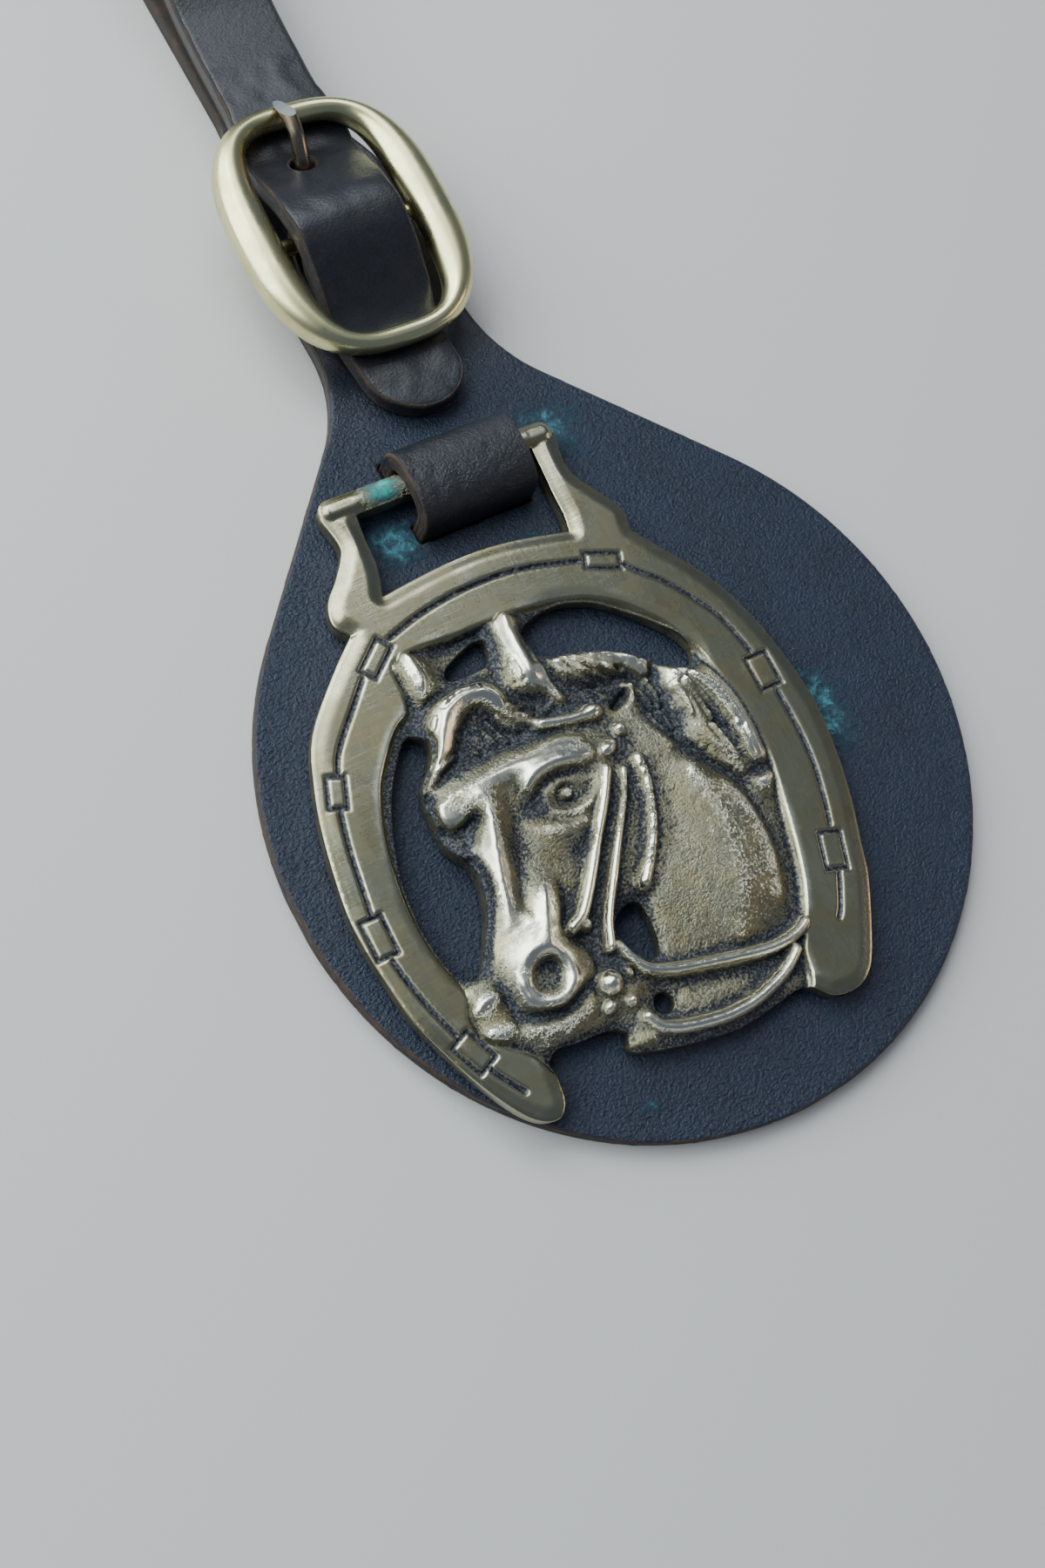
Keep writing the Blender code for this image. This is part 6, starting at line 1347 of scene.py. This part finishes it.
# fine strands chased into the mane and the forelock
STRANDS = [
    [(-5.6, 15.8), (-4.4, 13.6), (-3.0, 11.9), (-1.8, 11.0)],
    [(-4.6, 16.0), (-2.6, 13.4), (-0.8, 11.6), (0.6, 10.6)],
    [(-3.4, 15.8), (-1.2, 13.6), (1.0, 11.7), (2.8, 10.4)], [(-1.8, 15.4), (0.6, 13.6), (2.6, 12.0)],
    [(0.2, 14.8), (2.6, 13.2), (4.6, 11.4)], [(2.6, 13.9), (5.0, 12.0), (6.6, 10.2)],
    [(-4.6, 11.6), (-3.6, 9.8), (-3.2, 8.6)], [(-2.8, 10.6), (-1.6, 9.2), (-1.0, 8.4)],
    [(3.0, 8.8), (3.9, 6.8), (4.3, 4.6)], [(5.2, 8.2), (5.6, 6.2), (5.3, 4.4)],
    [(4.6, 4.4), (5.2, 2.6), (5.3, 0.8)], [(6.3, 5.0), (6.4, 2.8), (6.0, 0.8)],
    [(5.5, 0.0), (6.4, -1.8), (7.4, -3.6)], [(3.2, 4.0), (3.6, 2.0), (4.5, 0.0)],
    [(6.9, -3.4), (8.2, -5.6), (9.6, -7.4)], [(8.6, 7.6), (10.1, 4.8), (11.2, 1.4), (11.8, -2.0)],
    [(9.4, 5.6), (10.2, 2.4), (10.6, -0.6)], [(11.0, 6.2), (12.5, 2.2), (13.2, -3.0)],
    [(7.9, 5.8), (8.2, 3.4), (8.1, 1.2)], [(9.9, -1.4), (10.5, -4.2), (11.0, -6.8)],
    [(12.6, -2.6), (13.0, -5.4), (13.2, -8.0)],
    [(-15.0, 12.9), (-13.8, 12.0), (-12.4, 12.3), (-11.6, 11.5)],
    [(-14.4, 11.4), (-13.2, 10.7), (-12.0, 10.9)], [(-11.6, 10.6), (-10.2, 10.2), (-9.0, 10.8)],
    [(-20.8, 12.6), (-19.7, 10.8), (-19.0, 9.2)], [(-23.4, 11.8), (-22.4, 10.0), (-21.9, 8.6)],
    [(-17.4, 12.0), (-16.4, 10.6), (-15.4, 9.4)], [(-28.0, 8.8), (-26.6, 9.2), (-25.0, 9.6)],
    [(-18.6, 11.8), (-17.8, 10.0), (-17.2, 8.8)], [(-29.4, 10.0), (-27.4, 12.6), (-25.4, 15.2)],
    [(-23.6, 16.4), (-21.0, 17.0), (-18.4, 16.8)], [(-12.4, 17.6), (-12.6, 15.8)],
    [(-11.6, 18.4), (-11.7, 15.6)]]


def beside(points, x, y, reach):
    """Which places are near a smooth line, and their distances from it."""
    line = smooth(points, steps=4)
    here = close_to(line, x, y, reach)
    return here, path_distance(x[here], y[here], line)


def wedge(away, height, half_width):
    """A sharp crest where away is 0, falling to nothing at half_width."""
    return height * np.maximum(1 - np.abs(away) / half_width, 0)


def turned_to(x, y, middle, turn):
    """Distances from a middle, along and across a direction turned by some degrees."""
    a = math.radians(turn)
    right, up = x - middle[0], y - middle[1]
    return right * math.cos(a) + up * math.sin(a), up * math.cos(a) - right * math.sin(a)


def head_height(x, y):
    """The sheet with strands, beads and straps on it, marks across one strap, and a cut eye."""
    height = read_grid(CARVING, SHEET_LOW, SHEET_CELL, x, y)
    for points in STRANDS:
        here, away = beside(points, x, y, LINE_REACH)
        height[here] += wedge(away, *STRAND_RIDGE) - wedge(away - STRAND_FURROW_AWAY, *STRAND_FURROW)
    for top, middle, (across, upward), turn in BEADS.values():
        p, q = turned_to(x, y, middle, turn)
        bead = top - BEAD_ROUNDING * ((p / across) ** 2 + (q / upward) ** 2)
        height = soft_max(height, bead, BEAD_BLEND)
    for top, half, points in STRAPS.values():
        here, away = beside(points, x, y, 2 * half)
        strap = top - STRAP_ROUNDING * (away / half) ** 2
        height[here] = soft_max(height[here], strap, STRAP_BLEND)
    throat = smooth(STRAPS["throat_strap"][2], steps=8)
    stations = along(throat)
    for station in THROAT_MARKS:
        px, py = (np.interp(station, stations, column) for column in throat.T)
        away = (x - px) ** 2 / MARK_LENGTH ** 2 + (y - py) ** 2 / MARK_WIDTH ** 2
        height -= MARK_DEPTH * np.exp(-away)
    here = close_to(POLL_SLOT, x, y, LINE_REACH)
    height[here] -= wedge(path_distance(x[here], y[here], POLL_SLOT), *POLL_SLOT_CUT)
    eyeball = np.hypot((x - PUPIL[0]) / PUPIL_HALF_SIZE[0], (y - PUPIL[1]) / PUPIL_HALF_SIZE[1])
    height -= wedge(eyeball - 1, *IRIS_RING) + wedge(eyeball, PUPIL_CUT, 1)
    return np.maximum(height, HEAD_THINNEST)


FULLER_CUT = (0.5, 0.5)
NAIL_LINE, NAIL_LINE_AWAY = (0.45, 0.4), 0.2


def groove_depth(x, y):
    """Depth of the fuller and of the lines round the nail heads."""
    cut = np.zeros(x.shape)
    for points in FULLER:
        here, away = beside(points, x, y, LINE_REACH)
        cut[here] = np.maximum(cut[here], wedge(away, *FULLER_CUT))
    for middle, turn, length, width in NAILS:
        p, q = turned_to(x, y, middle, turn)
        away = np.maximum(np.abs(p) - length / 2, np.abs(q) - width / 2) - NAIL_LINE_AWAY
        cut = np.where(away < NAIL_LINE[1], wedge(away, *NAIL_LINE), cut)
    return cut


# the shoe is rounded off towards its edges and stepped down round its opening
CROWN_REACH = 2.2
SHOE_CROWN = 0.3
HANGER_CROWN = 0.55
HANGER_FOOT_Y = 30.0
STEP_DOWN, STEP_REACH = 1.0, 0.7
# the carving runs out under the web of the shoe
RUN_OUT_REACH, RUN_OUT_DROP, RUN_OUT_BLEND = 2.5, 3.0, 0.3
# wear holds the height near an edge: at the edge, per millimetre from it, and what is added
# to both for the head, reached at a distance inside the opening
EDGE_TOP, EDGE_SLOPE = 2.2, 2.6
HEAD_EDGE_TOP, HEAD_EDGE_SLOPE, HEAD_EDGE_REACH = 0.5, 1.2, 1.5
EDGE_BLEND = 0.4
# the bar is round across the window of the hanger and rooted in the hanger at both ends
BARE_BAR_X = (-20.0, 8.3)
BAR_ROOT_TOP = 3.4
BAR_MARGIN = 0.3
UNWORN = 9.0
THINNEST = 0.5


def brass_height(x, y):
    """Height of the face of the casting over its flat back."""
    depth = brass_depth(x, y)
    inside = depth_inside(x, y, SHOE_OPENING)
    bar = bar_distance(x, y)
    head = head_height(x, y)
    crown = ease(1 - depth / CROWN_REACH) * np.where(y > HANGER_FOOT_Y, HANGER_CROWN, SHOE_CROWN)
    shoe = SHOE - STEP_DOWN * ease(1 + inside / STEP_REACH) - crown
    run_out = np.where(inside > -RUN_OUT_REACH, head, 0) - ease(-inside / RUN_OUT_REACH) * RUN_OUT_DROP
    height = np.where(inside > 0, head, soft_max(run_out, shoe, RUN_OUT_BLEND))
    height = height - groove_depth(x, y)
    round_bar = BAR_RADIUS + np.sqrt(np.maximum(BAR_RADIUS ** 2 - bar ** 2, 0))
    bare_bar = (x > BARE_BAR_X[0]) & (x < BARE_BAR_X[1])
    bar_root = np.minimum(np.maximum(height, round_bar), BAR_ROOT_TOP)
    height = np.where(bar < BAR_RADIUS, np.where(bare_bar, round_bar, bar_root), height)
    steep = ease(inside / HEAD_EDGE_REACH)
    slope = EDGE_SLOPE + HEAD_EDGE_SLOPE * steep
    worn_edge = EDGE_TOP + HEAD_EDGE_TOP * steep + slope * np.maximum(depth, 0)
    worn_edge = np.where((bar < BAR_RADIUS + BAR_MARGIN) & bare_bar, UNWORN, worn_edge)
    height = -soft_max(-height, -worn_edge, EDGE_BLEND)
    return np.maximum(height, THINNEST)


# places where the patina was never rubbed off, and low places darkened as painted shade: middle, half sizes,
# turn, strength
PATINA_AND_SHADE_POOLS = [
    ((8.6, 5.0), (3.4, 7.5), 25.0, 0.62), ((3.6, 2.6), (2.9, 6.6), 12, 0.9),
    ((-1.6, 10.3), (6.2, 2.4), -14, 0.9), ((-12.2, 12.0), (3.2, 2.6), 0, 0.9),
    ((-22.6, 9.4), (5.4, 2.6), 24, 0.9), ((-16.0, 8.2), (3.5, 1.8), -20, 0.8),
    ((-31.6, -2.6), (1.8, 4.5), 10, 0.7), ((-19.0, -0.9), (2.2, 1.5), 0, 0.8),
    ((-15.6, -7.2), (3.8, 1.7), -28, 0.7), ((-7.6, -5.6), (1.3, 5.6), -38, 0.7),
    ((-5.4, -9.0), (1.4, 7.0), -32, 0.7), ((9.0, -3.2), (1.9, 3.6), 20, 0.5),
    ((13.6, -9.7), (2.2, 1.3), 0, 0.9), ((-16.6, 24.6), (5.5, 1.2), 0, 0.8),
    ((-8.0, 18.8), (1.2, 3.4), 0, 0.7), ((-28.8, -24.8), (4.4, 1.6), -4, 0.8),
    ((-18.6, -22.4), (1.8, 3.6), 0, 0.7), ((-3.4, 1.2), (2.4, 1.4), 30, 0.7),
    ((-25.6, -2.6), (1.5, 4.4), 0, 0.5)]
# places where cloths have rubbed the rough casting smooth, in the same form
RUBBED_PLACES = [
    ((-30.2, -14.6), (2.6, 4.2), -15.0, 1.0), ((-27.6, -4.5), (1.3, 7.0), 15.0, 0.9),
    ((-18.5, 4.4), (8.0, 1.5), 4.0, 0.8), ((-9.8, 19.0), (2.2, 7.0), 0.0, 0.9),
    ((-25.6, -14.4), (1.4, 4.0), 20.0, 1.0), ((-25.4, -21.0), (1.6, 3.0), 0.0, 0.8),
    ((-27.5, 12.0), (4.0, 3.6), 0.0, 0.7), ((3.6, 11.5), (4.0, 4.0), -30.0, 0.7),
    ((8.6, 5.6), (2.8, 6.6), 25.0, 0.8), ((-32.0, -22.0), (1.6, 2.6), 0.0, 0.7),
    ((-31.5, 2.2), (2.6, 1.6), 0.0, 0.7)]


SOFT_EDGE = 1.5


def soft_places(pools, x, y):
    """The strongest of some oval places, each fading out beyond its edge."""
    cover = np.zeros(x.shape)
    for middle, (across, upward), turn, strength in pools:
        p, q = turned_to(x, y, middle, turn)
        cover = np.maximum(cover, strength * ease(SOFT_EDGE - np.hypot(p / across, q / upward)))
    return cover


BLUR_ROUNDS = (3, 30, 260)


def blurred(field, solid):
    """A field blurred a little, more and a lot, with nothing counted from outside the casting."""
    total, weight = field * solid, solid.astype(float)
    stages = []
    for count in range(1, BLUR_ROUNDS[-1] + 1):
        total = (total + 4 * neighbours(total)) / 5
        weight = (weight + 4 * neighbours(weight)) / 5
        if count in BLUR_ROUNDS:
            stages.append(np.where(solid, total / np.maximum(weight, 1e-6), field))
    return stages


# the head's skin eases in across the edge of the opening; on the shoe, fine relief starts at
# a distance from the edges and broad relief is weaker
HEAD_EASE = 0.6
SHOE_FINE_FROM, SHOE_FINE_EASE, SHOE_BROAD = 0.6, 1.4, 0.3
SIDE_RELIEF = -0.5
CAST_LUMP_SIZE, CAST_LUMP_HEIGHT = 0.9, 0.05
GROOVE_PATINA, GROOVE_PATINA_DEPTH = 1.3, 0.3


def make_brass():
    """The casting with its relief against its surroundings stored for the patina, the painted shade and the
    painted highlight.
    """
    places, faces, side, rim = cut_sheet(
        brass_depth, BRASS_LOW, BRASS_HIGH, BRASS_CELL, BRASS_RIM, brass_height, plain_back=True)
    x, y, z = places.T
    grid_x, grid_y = np.meshgrid(np.arange(BRASS_LOW[0], BRASS_HIGH[0], BRASS_CELL),
                                 np.arange(BRASS_LOW[1], BRASS_HIGH[1], BRASS_CELL))
    solid = brass_depth(grid_x, grid_y) >= 0
    little, more, most = blurred(np.where(solid, brass_height(grid_x, grid_y), 0.0), solid)
    fine = read_grid(little - more, BRASS_LOW, BRASS_CELL, x, y)
    broad = read_grid(more - most, BRASS_LOW, BRASS_CELL, x, y)
    face = side >= 1
    head = ease((depth_inside(x, y, SHOE_OPENING) + HEAD_EASE) / (2 * HEAD_EASE))
    fine = fine * np.maximum(head, ease((brass_depth(x, y) - SHOE_FINE_FROM) / SHOE_FINE_EASE))
    broad = broad * np.maximum(head, SHOE_BROAD)
    lumps = uneven(np.column_stack([x, y, 0 * x]), CAST_LUMP_SIZE) * CAST_LUMP_HEIGHT * head
    grooves = GROOVE_PATINA * ease(groove_depth(x, y) / GROOVE_PATINA_DEPTH)
    # patina, with painted shade in the low pools, and the dark grooves
    patina_and_shade = np.maximum(soft_places(PATINA_AND_SHADE_POOLS, x, y), grooves)
    values = {"fine_relief": np.where(face, fine, 0.0),
              "broad_relief": np.where(face, broad, SIDE_RELIEF),
              "verdigris": verdigris_cover(places, VERDIGRIS[:1]),
              "patina_and_shade": np.where(face, patina_and_shade, 0.0),
              "rubbed": np.where(face, soft_places(RUBBED_PLACES, x, y), 0.0),
              "in_head": head}
    places = np.column_stack([x, y, z + np.where(face, lumps, 0.0) + BACK])
    piece = mesh_piece("horse_brass_casting", places, faces, values, open_rim=rim)
    piece.data.set_sharp_from_angle(angle=math.radians(BRASS_CREASE))
    piece.data.materials.append(aged_brass())
    return piece


# colours as (bright, dull), and patina as (bare, dusty)
SHOE_BRASS = ((0.44, 0.42, 0.285), (0.30, 0.28, 0.185))
HEAD_BRASS = ((0.33, 0.315, 0.22), (0.17, 0.165, 0.12))
GOLDEN_BRASS = (0.38, 0.32, 0.165)
# pale rubbed gold for the crests, made near white so that it also serves as a painted highlight
RUBBED_GOLD_AND_HIGHLIGHT = (0.94, 0.90, 0.71)
PATINA = ((0.012, 0.016, 0.027), (0.12, 0.12, 0.115))
# what the relief is made of, and where it turns to patina with painted shade or to a rubbed crest with
# painted highlight
FINE_SHARE, BROAD_SHARE = 2.2, 0.5
PATINA_AND_SHADE_SHARE, RUBBED_SHARE, PATCH_SHARE = 0.75, 0.22, 0.8
HOLLOW_RANGE, CREST_RANGE = (-0.02, -0.85), (0.12, 0.70)
BRASS_ROUGHNESS, HOLLOW_ROUGHNESS, RUBBED_ROUGHNESS = (0.23, 0.34), 0.22, 0.07
CREST_POLISH, HEAD_ROUGHNESS, PATINA_OVER_METAL = 0.05, 0.05, 0.6
BRASS_BUMP = 0.20


def aged_brass():
    """Yellow brass with blue-black patina and painted shade in its hollows, a rough skin, and pale rubbed
    crests with painted highlight.
    """
    material, tree, shader = new_surface("aged_brass")
    fine, broad, head = (stored(tree, title) for title in ("fine_relief", "broad_relief", "in_head"))
    wear = use_group(tree, WORN_METAL, {"Scratches": 0.7})
    growth = use_group(tree, VERDIGRIS_CRUST, {"Growth": stored(tree, "verdigris")})
    grains = noise_field(tree, 2600.0, 3.0, 0.65)
    lumps = noise_field(tree, 1100.0, 4.0, 0.6)
    patches = noise_field(tree, 170.0, 4.0, 0.6)
    speckle = scaled(tree, minus(tree, grains, 0.5), 1.9, minus(tree, lumps, 0.5))
    relief = plus(tree, times(tree, fine, FINE_SHARE), times(tree, broad, BROAD_SHARE))
    # patina and painted shade pull the relief down into the dark colours
    relief = minus(tree, relief, times(tree, stored(tree, "patina_and_shade"), PATINA_AND_SHADE_SHARE))
    smooth_skin = stored(tree, "rubbed")
    rough_skin = times(tree, head, minus(tree, 1.0, times(tree, smooth_skin, 0.8)))
    relief = scaled(tree, smooth_skin, RUBBED_SHARE, relief)
    relief = plus(tree, relief, times(tree, speckle, scaled(tree, rough_skin, 1.05, 0.15)))
    relief = scaled(tree, minus(tree, patches, 0.5), PATCH_SHARE, relief)
    hollow = spread_out(tree, relief, *HOLLOW_RANGE)
    crest_and_highlight = spread_out(tree, relief, *CREST_RANGE)
    shoe_brass = tint(tree, wear["Dull"], *SHOE_BRASS)
    head_brass = tint(tree, wear["Dull"], *HEAD_BRASS)
    body = tint(tree, head, shoe_brass, head_brass)
    golden = spread_out(tree, noise_field(tree, 230.0), 0.40, 0.70, 0.0, 0.6)
    body = tint(tree, golden, body, GOLDEN_BRASS)
    # pale rubbed gold on the crests, which is also a painted highlight
    colour = tint(tree, crest_and_highlight, body, RUBBED_GOLD_AND_HIGHLIGHT)
    dark = tint(tree, spread_out(tree, grains, 0.42, 0.68), *PATINA)
    colour = tint(tree, hollow, colour, dark)
    colour = tint(tree, growth["Cover"], colour, growth["Color"])
    tree.links.new(colour, shader.inputs["Base Color"])
    rough = spread_out(tree, wear["Dull"], 0.0, 1.0, *BRASS_ROUGHNESS)
    cast_skin = times(tree, minus(tree, 1.0, crest_and_highlight), times(tree, head, HEAD_ROUGHNESS))
    rough = plus(tree, rough, cast_skin)
    rough = plus(tree, rough, times(tree, hollow, HOLLOW_ROUGHNESS))
    rough = minus(tree, rough, times(tree, crest_and_highlight, CREST_POLISH))
    rough = scaled(tree, smooth_skin, RUBBED_ROUGHNESS, rough)
    rough = larger(tree, rough, times(tree, growth["Cover"], CRUST_ROUGHNESS))
    tree.links.new(rough, shader.inputs["Roughness"])
    covered = larger(tree, growth["Cover"], times(tree, hollow, PATINA_OVER_METAL))
    metal = minus(tree, 1.0, covered)
    tree.links.new(metal, shader.inputs["Metallic"])
    unrubbed = minus(tree, 1.0, times(tree, crest_and_highlight, 0.8))
    skin = scaled(tree, lumps, 0.6, times(tree, grains, 1.3))
    skin = times(tree, skin, times(tree, unrubbed, scaled(tree, rough_skin, 0.97, 0.03)))
    texture = plus(tree, skin, times(tree, wear["Height"], 0.15))
    texture = plus(tree, texture, times(tree, growth["Height"], 1.5))
    add_bump(tree, shader, texture, BRASS_BUMP)
    return material


brass = make_brass()
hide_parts("horse_brass")
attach(brass, "brass")

# ------------------------------------------------------ floor, light, view
# A plain pale floor, one large soft window at the upper left, a weak fill from the right,
# and a camera that looks down from the lower left. The floor and lights are in metres.

FLOOR_SIZE = 6.0
CAMERA_PLACE = (-95.4, -26.4, 188.0)
CAMERA_TURN = (18.69, -15.96, -30.17)
CAMERA_LENS = 35.08
FLOOR_COLOUR = (0.62, 0.60, 0.57)
FLOOR_ROUGHNESS = 0.6
SKY_COLOUR = (0.48, 0.60, 0.84)
SKY_STRENGTH = 0.23


def make_floor():
    bpy.ops.mesh.primitive_plane_add(size=FLOOR_SIZE)
    floor = bpy.context.object
    floor.name = "floor"
    material, tree, shader = new_surface("pale_floor")
    shader.inputs["Base Color"].default_value = (*FLOOR_COLOUR, 1.0)
    shader.inputs["Roughness"].default_value = FLOOR_ROUGHNESS
    floor.data.materials.append(material)
    return floor


def add_light(name, place, target, size, power, colour):
    """A flat lamp turned towards a target."""
    lamp = bpy.data.lights.new(name, "AREA")
    lamp.shape = "RECTANGLE"
    lamp.size, lamp.size_y = size
    lamp.energy = power
    lamp.color = colour
    holder = bpy.data.objects.new(name, lamp)
    bpy.context.scene.collection.objects.link(holder)
    holder.location = place
    holder.rotation_euler = (Vector(target) - Vector(place)).to_track_quat("-Z", "Y").to_euler()


make_floor()
add_light("window", (-0.50, 0.55, 0.55), (0, 0.02, 0), (1.2, 0.95), 19.0, (0.88, 0.98, 1.0))
add_light("overhead", (0.12, 0.62, 0.80), (0, 0.02, 0), (0.6, 0.5), 3.5, (0.90, 0.96, 1.0))
add_light("warm_fill", (0.75, -0.35, 0.30), (0, 0, 0), (0.35, 0.2), 0.7, (1.0, 0.74, 0.54))
add_light("ceiling", (0.28, 0.10, 1.10), (0, 0, 0), (0.8, 0.8), 0.30, (0.90, 1.0, 0.96))

world = bpy.data.worlds.new("studio")
world.use_nodes = True
sky = world.node_tree.nodes["Background"].inputs
sky["Color"].default_value = (*SKY_COLOUR, 1.0)
sky["Strength"].default_value = SKY_STRENGTH
bpy.context.scene.world = world

lens = bpy.data.cameras.new("camera")
lens.lens = CAMERA_LENS
lens.sensor_width = 36.0
lens.sensor_fit = "AUTO"
lens.clip_start = 0.01
camera = bpy.data.objects.new("camera", lens)
camera.location = Vector(CAMERA_PLACE) * MM
camera.rotation_euler = [math.radians(angle) for angle in CAMERA_TURN]
bpy.context.scene.collection.objects.link(camera)
bpy.context.scene.camera = camera
